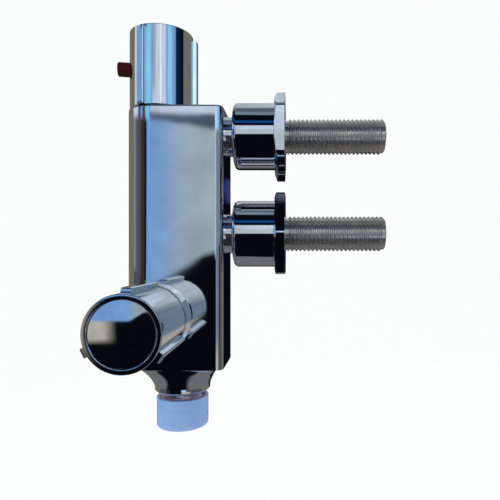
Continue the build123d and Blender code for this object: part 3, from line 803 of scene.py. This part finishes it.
    def boss(self) -> Piece:
        """Make the flow boss, with its taper and the step that the knob runs on.

        Returns:
            The boss.
        """
        foot = self.half_width - self.front_radius + self.overcut
        boss = Bench.turned("boss", [
            (self.boss_base_radius, foot), (self.boss_base_radius, self.half_width + self.boss_base_rise),
            (self.boss_end_radius, self.boss_end), (self.boss_step_radius, self.boss_end),
            (self.boss_step_radius, self.boss_step_end),
        ], origin=(self.flow_x, 0, self.flow_z), axis=Axis.TO_USER)
        Bench.soften(boss, self.boss_edge)
        return boss

    def cutters(self, top: float) -> list[Piece]:
        """Make the cutters of the chambers and the inlet ports.

        Args:
            top: Z of the top of the body.

        Returns:
            The cutters, in the order of their cuts.
        """
        cutters = [
            Bench.turned("cartridge_chamber", [
                (self.chamber_radius, self.chamber_floor), (self.chamber_radius, self.chamber_mouth_floor),
                (self.chamber_mouth_radius, self.chamber_mouth_floor),
                (self.chamber_mouth_radius, top + self.overcut),
            ], origin=(self.chamber_x, 0, 0)),
            Bench.turned("flow_chamber", [
                (self.flow_chamber_radius, self.flow_chamber_floor),
                (self.flow_chamber_radius, self.boss_step_end + self.overcut),
            ], origin=(self.flow_x, 0, self.flow_z), axis=Axis.TO_USER),
        ]
        for height in (self.port_spacing / 2, -self.port_spacing / 2):
            cutters.append(Bench.turned("inlet_port", [
                (self.port_radius, -self.port_depth), (self.port_radius, self.overcut),
            ], origin=(self.body_back, 0, height), axis=Axis.TO_WALL))
        return cutters

    def outlet_thread(self, bottom: float) -> Piece:
        """Make the threaded outlet tube; the bore is left open at its end.

        Args:
            bottom: Z of its end.

        Returns:
            The tube.
        """
        thread = Thread(self.outlet_crest, self.outlet_root, self.outlet_pitch, bottom + self.outlet_lead,
                        self.neck_bottom - self.outlet_run_out)
        top = self.neck_bottom + self.outlet_overlap
        tube = Bench.turned("outlet_tube", [
            (self.outlet_bore_radius, bottom), (self.outlet_root - self.outlet_chamfer, bottom),
            (self.outlet_root, bottom + self.outlet_chamfer), (self.outlet_root, top),
            (self.outlet_bore_radius, top),
        ], ring=True)
        Bench.combine(tube, thread.ridge("outlet_ridge"), Join.ADD)
        Bench.settle(tube, (self.outlet_x, 0, 0))
        return tube


@dataclass
class Handle:
    """A handle of the shared design: ribbed shell and domed end disc."""

    body: str
    origin: Point
    axis: Axis
    turn: float = 0.0
    button_height: float = 0.0
    radius: float = 19.0 * MM
    wall: float = 2.0 * MM
    length: float = 47.2 * MM
    rib_width: float = 5.0 * MM
    rib_height: float = 3.0 * MM
    rib_stop: float = 2.4 * MM
    rib_edge: float = 1.3 * MM
    rib_steps: int = 8
    rib_count: int = 3
    web_low: float = 34.9 * MM
    web_high: float = 37.5 * MM
    web_hole: float = 6.0 * MM
    disc_radius: float = 16.1 * MM
    disc_recess: float = 2.3 * MM
    disc_thickness: float = 1.6 * MM
    disc_crown: float = 0.8 * MM
    disc_steps: int = 14
    disc_foot: float = 0.3 * MM
    disc_edge: float = 0.2 * MM
    disc_gap: float = 0.15 * MM
    shelf_width: float = 1.8 * MM
    rim_edge: float = 0.5 * MM
    button_hole: float = 4.6 * MM
    button_steps: int = 64

    def make(self) -> None:
        """Build the shell and the disc and dress them."""
        shell = self.shell()
        for index in range(self.rib_count):
            Bench.combine(shell, self.rib(360 / self.rib_count * index), Join.ADD)
        if self.button_height:
            Bench.combine(shell, self.button_cutter(), Join.CUT)
        self.stand(shell)
        Bench.clean(shell)
        Bench.smooth(shell)
        place_piece(shell, self.body, CHROME, f"{self.body}_shell")
        disc = self.disc()
        self.stand(disc)
        Bench.smooth(disc)
        place_piece(disc, self.body, CHROME, f"{self.body}_disc")

    def stand(self, piece: Piece) -> None:
        """Bring a piece from the bench to its place on the valve."""
        Bench.settle(piece, turn=(0, 0, math.radians(self.turn)))
        Bench.settle(piece, self.origin, self.axis.value)

    def shell(self) -> Piece:
        """Turn the shell with its web and its shelf for the disc.

        Returns:
            The shell.
        """
        inner = self.radius - self.wall
        seat = self.disc_radius + self.disc_gap
        shelf = self.length - self.disc_recess
        shell = Bench.turned(f"{self.body}_ribbed_shell", [
            (self.web_hole, self.web_low), (inner, self.web_low), (inner, 0.0), (self.radius, 0.0),
            (self.radius, self.length), (seat, self.length), (seat, shelf),
            (seat - self.shelf_width, shelf), (seat - self.shelf_width, self.web_high),
            (self.web_hole, self.web_high),
        ], ring=True)
        Bench.soften(shell, self.rim_edge, steps=4)
        return shell

    def rib(self, angle: float) -> Piece:
        """Make one long rib with rounded outer edges.

        Args:
            angle: its place round the shell, in degrees.

        Returns:
            The rib.
        """
        foot = self.radius - self.wall / 2
        crest = self.radius + self.rib_height
        rib = Bench.block("rib", (foot, -self.rib_width / 2, 0),
                          (crest, self.rib_width / 2, self.length - self.rib_stop))
        Bench.edit(Select.EDGES)
        Bench.round_edges(rib, lambda edge: all(vertex.co.x > crest - MERGE for vertex in edge.verts),
                          self.rib_edge, self.rib_steps)
        bpy.ops.object.mode_set(mode="OBJECT")
        Bench.settle(rib, turn=(0, 0, math.radians(angle)))
        return rib

    def button_cutter(self) -> Piece:
        """Make the cutter of the button's hole, opposite the first rib.

        Returns:
            The cutter.
        """
        cutter = Bench.turned("button_hole", [
            (self.button_hole, self.radius - 2 * self.wall),
            (self.button_hole, self.radius + self.rib_height),
        ], origin=(0, 0, self.button_height), axis=Axis.TO_WALL, steps=self.button_steps)
        Bench.settle(cutter, turn=(0, 0, math.pi))
        return cutter

    def disc(self) -> Piece:
        """Turn the end disc, whose face is domed by an arc.

        Returns:
            The disc.
        """
        under = self.length - self.disc_recess
        edge = under + self.disc_thickness
        outline = [(self.disc_foot, under), (self.disc_radius - self.disc_foot, under),
                   (self.disc_radius, under + self.disc_foot), (self.disc_radius, edge - self.disc_edge)]
        for index in range(self.disc_steps):
            radius = (self.disc_radius - self.disc_edge) * (1 - index / self.disc_steps)
            rise = self.disc_crown * (1 - (radius / self.disc_radius) ** 2)
            outline.append((max(radius, self.disc_foot), edge + rise))
        return Bench.turned(f"{self.body}_domed_disc", outline)


@dataclass
class Inlet:
    """One wall inlet: threaded tail, chromed cup and hexagonal wall nut."""

    side: str
    height: float
    nut_turn: float
    tail_radius: float = 10.7 * MM
    tail_root: float = 9.75 * MM
    shank_radius: float = 10.4 * MM
    thread_start: float = 0.5 * MM
    thread_run_out: float = 0.2 * MM
    tail_pitch: float = 2.55 * MM
    tail_bore: float = 7.0 * MM
    tail_end: float = 61.0 * MM
    tail_smooth: float = 24.0
    spigot_start: float = -47.0 * MM
    spigot_radius: float = 10.08 * MM
    neck_start: float = -36.0 * MM
    neck_radius: float = 12.0 * MM
    collar_start: float = -27.0 * MM
    collar_end: float = -23.0 * MM
    collar_radius: float = 15.0 * MM
    cup_radius: float = 20.3 * MM
    cup_wall: float = 1.8 * MM
    cup_floor: float = 2.2 * MM
    cup_start: float = -31.2 * MM
    cup_hole: float = 12.3 * MM
    cup_shoulder: float = 2.6 * MM
    cup_steps: int = 10
    cup_edge: float = 0.3 * MM
    nut_flats: float = 48.7 * MM
    nut_thickness: float = 6.2 * MM
    nut_corner: float = 1.5 * MM
    nut_steps: int = 6
    nut_hole: float = 10.52 * MM
    nut_chamfer_inset: float = 0.4 * MM
    nut_chamfer_slope: float = 0.36
    nut_edge: float = 0.45 * MM
    groove_place: float = -38.2 * MM
    groove_half: float = 0.85 * MM
    groove_floor: float = 8.5 * MM
    socket_radius: float = 7.6 * MM
    socket_end: float = -29.0 * MM
    socket_lead: float = 0.5 * MM
    mouth_chamfer: float = 0.4 * MM
    tip_chamfer: float = 0.7 * MM
    overcut: float = 1.0 * MM

    def make(self) -> None:
        """Build the tail, cup and nut and dress them."""
        self.tail()
        self.cup()
        self.nut()

    def tail(self) -> None:
        """Make the tail: polished neck, collar, and the shank with its thread."""
        groove_low = self.groove_place - self.groove_half
        groove_high = self.groove_place + self.groove_half
        tail = Bench.turned(f"{self.side}_wall_tail", [
            (self.socket_radius, self.spigot_start), (self.spigot_radius, self.spigot_start),
            (self.spigot_radius, groove_low), (self.groove_floor, groove_low),
            (self.groove_floor, groove_high), (self.spigot_radius, groove_high),
            (self.spigot_radius, self.neck_start), (self.neck_radius, self.neck_start),
            (self.neck_radius, self.collar_start), (self.collar_radius, self.collar_start),
            (self.collar_radius, self.collar_end), (self.shank_radius, self.collar_end),
            (self.shank_radius, self.thread_start), (self.tail_root, self.thread_start),
            (self.tail_root, self.tail_end - self.tip_chamfer),
            (self.tail_root - self.tip_chamfer, self.tail_end),
            (self.tail_bore + self.mouth_chamfer, self.tail_end),
            (self.tail_bore, self.tail_end - self.mouth_chamfer),
            (self.tail_bore, self.socket_end + self.socket_lead),
            (self.socket_radius - self.socket_lead, self.socket_end), (self.socket_radius, self.socket_end),
        ], ring=True)
        thread = Thread(self.tail_radius, self.tail_root, self.tail_pitch, self.thread_start,
                        self.tail_end - self.thread_run_out)
        Bench.combine(tail, thread.ridge("tail_ridge"), Join.ADD)
        Bench.settle(tail, (0, 0, self.height), Axis.TO_WALL.value)
        Bench.clean(tail)
        Bench.smooth(tail, self.tail_smooth)
        place_piece(tail, "valve", TAIL_METAL, f"{self.side}_tail")

    def cup(self) -> None:
        """Make the cup that hides the collar."""
        inner = self.cup_radius - self.cup_wall
        floor = self.cup_start + self.cup_floor
        shoulder = Bench.quarter(self.cup_radius, self.cup_start, self.cup_shoulder, self.cup_steps)
        cup = Bench.turned(f"{self.side}_inlet_cup", [
            (self.cup_hole, self.cup_start), *shoulder, (self.cup_radius, -self.nut_thickness),
            (inner, -self.nut_thickness), (inner, floor), (self.cup_hole, floor),
        ], ring=True, origin=(0, 0, self.height), axis=Axis.TO_WALL)
        Bench.soften(cup, self.cup_edge)
        Bench.smooth(cup)
        place_piece(cup, "valve", CHROME, f"{self.side}_cup")

    def nut(self) -> None:
        """Make the wall nut: a hexagon with rounded corners, chamfered on the cup's side by a cone."""
        Bench.clear()
        corner = self.nut_flats / 2 / math.cos(math.pi / 6)
        bpy.ops.mesh.primitive_cylinder_add(vertices=6, radius=corner, depth=self.nut_thickness)
        nut = bpy.context.active_object
        nut.name = f"{self.side}_hex_nut"
        half = self.nut_thickness / 2
        Bench.settle(nut, (0, 0, -half))
        Bench.edit(Select.EDGES)
        Bench.round_edges(nut, lambda edge: abs(edge.verts[0].co.z - edge.verts[1].co.z) > half,
                          self.nut_corner, self.nut_steps)
        bpy.ops.object.mode_set(mode="OBJECT")
        low, high = -self.nut_thickness - self.overcut, self.overcut
        start = self.nut_flats / 2 - self.nut_chamfer_inset
        cone = Bench.turned("nut_cone", [
            (start - self.overcut / self.nut_chamfer_slope, low),
            (start + (self.nut_thickness + self.overcut) / self.nut_chamfer_slope, high),
        ])
        Bench.combine(nut, cone, Join.TRIM)
        hole = Bench.turned("nut_hole", [(self.nut_hole, low), (self.nut_hole, high)])
        Bench.combine(nut, hole, Join.CUT)
        Bench.soften(nut, self.nut_edge, steps=4)
        Bench.settle(nut, turn=(0, 0, math.radians(self.nut_turn)))
        Bench.settle(nut, (0, 0, self.height), Axis.TO_WALL.value)
        Bench.clean(nut)
        Bench.smooth(nut)
        place_piece(nut, "valve", CHROME, f"{self.side}_wall_nut")


@dataclass
class OutletCap:
    """The milky cap that covers the outlet thread."""

    x: float = -63.5 * MM
    radius: float = 15.6 * MM
    wall: float = 2.1 * MM
    floor: float = 1.8 * MM
    edge: float = 2.2 * MM
    edge_steps: int = 8
    rings: tuple[float, ...] = (0.30, 0.36, 0.62, 0.66)
    ring_depth: float = 0.12 * MM
    ring_half: float = 0.25 * MM
    centre_radius: float = 0.5 * MM
    smooth_angle: float = 35.0

    def make(self) -> None:
        """Build the cap with its moulded rings and dress it."""
        low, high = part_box("outlet_cap")
        outline = Bench.quarter(self.radius, low.z, self.edge, self.edge_steps)
        for share in self.rings:
            height = low.z + share * (high.z - low.z)
            outline += [(self.radius, height - self.ring_half), (self.radius - self.ring_depth, height),
                        (self.radius, height + self.ring_half)]
        inner = self.radius - self.wall
        outline += [(self.radius, high.z), (inner, high.z), (inner, low.z + self.floor),
                    (self.centre_radius, low.z + self.floor), (self.centre_radius, low.z)]
        cap = Bench.turned("milky_outlet_cap", outline, ring=True, origin=(self.x, 0, 0))
        Bench.smooth(cap, self.smooth_angle)
        place_piece(cap, "valve", CAP_PLASTIC, "outlet_cap")


class InnerWorks:
    """What the casting, handle and knob hold; these nodes keep their own shapes."""

    NODES = {
        BLUE_PLASTIC: "rear_plug",
        RED_PLASTIC: "safety_button",
        BRASS: "cartridge_sleeve retaining_nut flow_headwork temperature_spindle flow_spindle "
               "temperature_pusher",
        COPPER: "wax_element",
        STEEL: "return_spring button_spring temperature_handle_screw flow_knob_screw",
        WHITE_PLASTIC: "stop_ring temperature_handle_insert flow_knob_insert mixing_spool",
        RUBBER: "cartridge_o_rings flow_o_ring disc_seal",
        CERAMIC: "fixed_ceramic_disc moving_ceramic_disc",
    }
    SIDE_NODES = {
        STEEL: "check_spring strainer",
        WHITE_PLASTIC: "check_housing check_poppet",
        RUBBER: "tail_o_ring cup_washer",
    }

    def make(self) -> None:
        """Dress every node that nothing stands for."""
        named = [(finish, node) for finish, nodes in self.NODES.items() for node in nodes.split()]
        for finish, nodes in self.SIDE_NODES.items():
            named += [(finish, f"{side}_{node}") for node in nodes.split() for side in ("upper", "lower")]
        for finish, node in named:
            dress(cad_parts[node], finish)
            log.info("dressed %s with %s", node, finish.name)


@dataclass(frozen=True)
class Lamp:
    """A soft square lamp that lights the valve and that nothing mirrors."""

    name: str
    place: Point
    size: float
    power: float

    def make(self) -> None:
        """Hang the lamp and point it at the middle."""
        light = bpy.data.lights.new(self.name, "AREA")
        light.size = self.size
        light.energy = self.power
        lamp = bpy.data.objects.new(self.name, light)
        lamp.location = self.place
        lamp.rotation_euler = (-Vector(self.place)).to_track_quat("-Z", "Y").to_euler()
        lamp.visible_glossy = False
        bpy.context.scene.collection.objects.link(lamp)


@dataclass
class Studio:
    """Camera, lamps, pale floor and the glowing dome of painted reflections that the chrome mirrors."""

    eye: Point = (6.0 * MM, -304.0 * MM, -41.2 * MM)
    focal_pixels: float = 490.0
    picture: int = 500
    sensor: float = 36.0
    aim_x: float = 295.0
    aim_y: float = 252.0
    nearest: float = 0.01
    farthest: float = 20.0
    floor_height: float = -0.36
    floor_size: float = 4.0
    floor_colour: Colour = (0.9, 0.9, 0.9)
    floor_roughness: float = 0.9
    floor_glow: float = 0.9
    backdrop_height: float = 2.5
    backdrop_bend: float = 0.8
    backdrop_steps: int = 16
    soft_colour: Colour = (0.86, 0.92, 1.0)
    soft_light: float = 0.8
    lamps: tuple[Lamp, ...] = (Lamp("key_lamp", (-0.7, -0.9, 0.9), 0.7, 9.0),
                               Lamp("rim_lamp", (0.8, 0.7, 0.8), 0.6, 5.0))

    def make(self) -> None:
        """Set up the whole studio."""
        self.camera()
        self.floor()
        self.world()
        for lamp in self.lamps:
            lamp.make()
        # The dome of painted reflections: it glows for glossy rays only and lights nothing.
        PaintedReflectionRoom().make()
        bpy.context.scene.view_settings.view_transform = "Standard"

    def camera(self) -> None:
        """Place the camera square to the wall, framed as the photograph is by a small shift."""
        lens = bpy.data.cameras.new("studio_camera")
        lens.sensor_width = self.sensor
        lens.lens = self.focal_pixels * self.sensor / self.picture
        lens.shift_x = 0.5 - self.aim_x / self.picture
        lens.shift_y = self.aim_y / self.picture - 0.5
        lens.clip_start = self.nearest
        lens.clip_end = self.farthest
        camera = bpy.data.objects.new("studio_camera", lens)
        camera.location = self.eye
        camera.rotation_euler = Axis.TO_USER.value
        bpy.context.scene.collection.objects.link(camera)
        bpy.context.scene.camera = camera

    def floor(self) -> None:
        """Lay the pale floor, with a back that curves up out of it."""
        Bench.clear()
        bpy.ops.mesh.primitive_plane_add(size=self.floor_size)
        floor = bpy.context.active_object
        floor.name = "studio_floor"
        Bench.settle(floor, (0, 0, self.floor_height))
        Bench.edit(Select.EDGES)
        far_side = self.floor_size / 2 - MERGE
        Bench.pick(floor, Select.EDGES, lambda edge: all(vertex.co.y > far_side for vertex in edge.verts))
        bpy.ops.mesh.extrude_edges_move(TRANSFORM_OT_translate={"value": (0, 0, self.backdrop_height)})
        Bench.round_edges(floor, lambda edge: len(edge.link_faces) == 2, self.backdrop_bend,
                          self.backdrop_steps)
        bpy.ops.object.mode_set(mode="OBJECT")
        Bench.smooth(floor)
        floor.data.materials.append(self.floor_material())
        floor.visible_glossy = False

    def floor_material(self) -> bpy.types.Material:
        """Make the pale matt floor, which glows for the camera and keeps a soft shadow.

        Returns:
            The material.
        """
        material = bpy.data.materials.new("pale_floor")
        graph = Graph(material)
        pale = graph.feed(graph.nodes["Principled BSDF"], {"Base Color": self.floor_colour,
                                                           "Roughness": self.floor_roughness})
        glow = graph.add("Emission", {"Color": WHITE})
        seen = graph.add("LightPath").outputs["Is Camera Ray"]
        graph.end("Material Output", graph.reckon("MULTIPLY", seen, self.floor_glow), pale.outputs["BSDF"],
                  glow.outputs["Emission"])
        return material

    def world(self) -> None:
        """Light everything softly; what sees the world itself sees a white background."""
        world = bpy.data.worlds.new("soft_studio")
        bpy.context.scene.world = world
        graph = Graph(world)
        soft = graph.feed(graph.nodes["Background"], {"Color": self.soft_colour, "Strength": self.soft_light})
        white = graph.add("Background", {"Color": WHITE})
        path = graph.add("LightPath").outputs
        seen = path["Is Camera Ray"]
        for ray in ("Is Transmission Ray", "Is Glossy Ray"):
            seen = graph.reckon("MAXIMUM", seen, path[ray])
        graph.end("World Output", seen, soft.outputs["Background"], white.outputs["Background"])


@dataclass(frozen=True)
class Band:
    """One band of the room's painted reflections.

    edge holds (angle, height) pairs in degrees: the height above which the band covers what is
    below it. Angles go round from the user's side, growing towards the wall. blur is the height
    of its soft edge, and paints is read by Room.stops.
    """

    edge: tuple[tuple[float, float], ...]
    blur: float
    paints: str


@dataclass(frozen=True)
class PaintedReflectionRoom:
    """A glowing dome of painted reflections that only mirror-like surfaces see: dark ground, a horizon, and
    sky between eaves, painted by direction; it is no lamp and lights nothing.
    """

    # Colours of the painted reflections, named for what they stand for in the surroundings; the near-white at
    # 8 degrees is a painted highlight.
    PAINTS = {
        "sky": (0.26, 0.68, 1.0),
        "mid_sky": (0.20, 0.38, 0.72),
        "haze": (0.62, 0.72, 0.86),
        "sun_gap": (0.95, 0.99, 1.0),
        "cloud": (0.37, 0.46, 0.51),
        "bright_cloud": (0.52, 0.60, 0.66),
        "grey": (0.25, 0.29, 0.32),
        "eave": (0.065, 0.10, 0.15),
        "slate": (0.085, 0.09, 0.11),
        "blue_line": (0.005, 0.07, 0.27),
        "blue_grey": (0.18, 0.25, 0.33),
        "floor_grey": (0.16, 0.17, 0.18),
        "low_blue": (0.42, 0.66, 0.98),
        "steel_blue": (0.10, 0.13, 0.17),
        "navy": (0.005, 0.02, 0.065),
        "black": (0.002, 0.003, 0.006),
        "brown": (0.05, 0.03, 0.025),
        "cream": (0.50, 0.48, 0.42),
        "tan": (0.19, 0.175, 0.14),
    }
    LEFT = ("slate -180, tan -158 -98, haze -94 -72, slate -69 -62, mid_sky -60 -53, slate -50 -42, "
            "sky -38 -29")
    RIGHT = ("haze 4, sun_gap 8, haze 13 24, mid_sky 31, sky 37 46, mid_sky 55 62, navy 66, black 97, "
             "tan 101 152, slate 160 180")
    LOW_LEFT = "black -180 -162, tan -156 -98, slate -92 -62, black -58, brown -54 -45, black -43"
    LOW_RIGHT = "slate 74 97, tan 106 152, black 158 180"
    FAR = "bright_cloud -180, tan -122 -112, black -104"
    NEAR = "black 104, tan 112 122, bright_cloud 180"
    GROUND = "floor_grey -180 -70, black -55 20, floor_grey 40 180"
    BANDS = (
        Band(((0, -31),), 3.0, f"{LOW_LEFT}, black -41 3, low_blue 6 20, slate 26, {LOW_RIGHT}"),
        Band(((0, -23),), 2.0, f"{LOW_LEFT}, black -41 3, cream 7 38, slate 44, {LOW_RIGHT}"),
        Band(((0, -13),), 2.5,
             f"{LOW_LEFT}, cream -42 -28, black -23 4, blue_grey 8 44, black 52, {LOW_RIGHT}"),
        Band(((-180, 0), (-60, -4), (-30, -5.2), (-17, -4.8), (-10.5, -0.8), (-7, -1.6), (3, -1.6), (10, 0),
              (148, 0), (154, 15), (180, 15)), 0.9,
             "black -180 -162, tan -156 -97, grey -90, slate -76 -60, brown -57 -44, black -41 -36, "
             "mid_sky -33 -17.5, cloud -13.5 -9.5, bright_cloud -8 6, blue_grey 12 68, black 74 97, "
             "tan 101 180"),
        Band(((-180, 15), (-18, 15.2), (-9.5, 14.4), (180, 15)), 0.7,
             f"{LEFT}, mid_sky -23, eave -21 -8.6, haze -7.6, {RIGHT}"),
        Band(((-180, 16.2), (-18, 16.0), (-9.5, 16.3), (180, 16.2)), 0.6,
             f"{LEFT}, mid_sky -24, haze -17 -5, {RIGHT}"),
        Band(((0, 18.5),), 2.0, f"{LEFT}, mid_sky -22, cloud -12, haze -5, {RIGHT}"),
        Band(((0, 27),), 1.5, f"{FAR}, {NEAR}"),
        Band(((0, 36),), 1.5, f"{FAR}, blue_line -60 60, {NEAR}"),
        Band(((0, 44),), 2.0, f"{FAR}, {NEAR}"),
        Band(((0, 66),), 2.0, "bright_cloud -180, tan -122, blue_grey -104 104, tan 122, bright_cloud 180"),
        Band(((0, 78),), 4.0, "steel_blue -180 180"),
    )

    radius: float = 2.5
    segments: int = 64
    rings: int = 32
    smooth_angle: float = 60.0
    mottle: float = 0.12
    mottle_size: float = 0.16
    mottle_low: float = 0.3
    mottle_high: float = 0.7

    def make(self) -> None:
        """Make the glowing dome of painted reflections and let only glossy rays see it."""
        Bench.clear()
        bpy.ops.mesh.primitive_uv_sphere_add(segments=self.segments, ring_count=self.rings,
                                             radius=self.radius)
        room = bpy.context.active_object
        room.name = "painted_reflection_room"
        Bench.edit()
        bpy.ops.mesh.flip_normals()
        bpy.ops.object.mode_set(mode="OBJECT")
        Bench.smooth(room, self.smooth_angle)
        room.visible_camera = False
        room.visible_diffuse = False
        room.visible_transmission = False
        room.visible_volume_scatter = False
        room.visible_shadow = False
        room.data.materials.append(self.material())

    def stops(self, paints: str) -> Stops:
        """Read painted reflection colours round the room: names of paints, each with the angles at which it
        stands.
        """
        runs = [run.split() for run in paints.split(", ")]
        return [(float(angle), self.PAINTS[paint]) for paint, *angles in runs for angle in angles]

    def material(self) -> bpy.types.Material:
        """Paint the reflections by direction: the ground, then each band over it, all slightly mottled.

        Returns:
            The material.
        """
        material = bpy.data.materials.new("painted_reflection_room")
        graph = Graph(material)
        graph.nodes.remove(graph.nodes["Principled BSDF"])
        place = graph.add("TexCoord").outputs["Object"]
        split = graph.add("SeparateXYZ", {0: place}).outputs
        angle = graph.reckon("ARCTAN2", split["X"], graph.reckon("MULTIPLY", split["Y"], -1.0))
        around = graph.reckon("MULTIPLY_ADD", angle, 0.5 / math.pi, 0.5)
        level = graph.reckon("DIVIDE", split["Z"], self.radius)
        height = graph.reckon("MULTIPLY", graph.reckon("ARCSINE", level), 180 / math.pi)
        colour = graph.ramp(self.stops(self.GROUND), around)
        for band in self.BANDS:
            colour = self.cover(graph, colour, around, height, band)
        strength = graph.stretch(graph.noise(place, self.mottle_size), self.mottle_low, self.mottle_high,
                                 1 - self.mottle, 1 + self.mottle)
        # The painted reflections glow as emission, though the dome is no lamp.
        glow = graph.add("Emission", {"Color": colour, "Strength": strength})
        graph.feed(graph.nodes["Material Output"], {"Surface": glow.outputs["Emission"]})
        return material

    def cover(self, graph: Graph, below: Socket, around: Socket, height: Socket, band: Band) -> Socket:
        """Fade from what is below a band to the band's own colours.

        Args:
            graph: nodes of the room's material.
            below: colour of what is below.
            around: the angle as a share of the whole turn.
            height: the height in degrees.
            band: the band.

        Returns:
            The colour of both.
        """
        if len(band.edge) == 1:
            rise = graph.reckon("SUBTRACT", height, band.edge[0][1])
        else:
            line = graph.ramp([(angle, (level / 180 + 0.5,) * 3) for angle, level in band.edge], around)
            rise = graph.reckon("ADD", height, graph.reckon("MULTIPLY_ADD", line, -180.0, 90.0))
        share = graph.stretch(rise, -band.blur / 2, band.blur / 2)
        colour = graph.ramp(self.stops(band.paints), around)
        return graph.add("Mix", {"Factor": share, "A": below, "B": colour}, "RGBA").outputs["Result"]


def main() -> None:
    """Build every sub-assembly, then the studio."""
    Casting().make()
    Handle("temperature_handle", (-76.5 * MM, 0, 45.1 * MM), Axis.UP, turn=10.0,
           button_height=25.3 * MM).make()
    Handle("flow_knob", (-74.5 * MM, -30.1 * MM, -79.5 * MM), Axis.TO_USER, turn=86.0).make()
    Inlet("upper", 30 * MM, nut_turn=30.0).make()
    Inlet("lower", -30 * MM, nut_turn=0.0).make()
    OutletCap().make()
    InnerWorks().make()
    Studio().make()


if __name__ == "__main__":
    main()
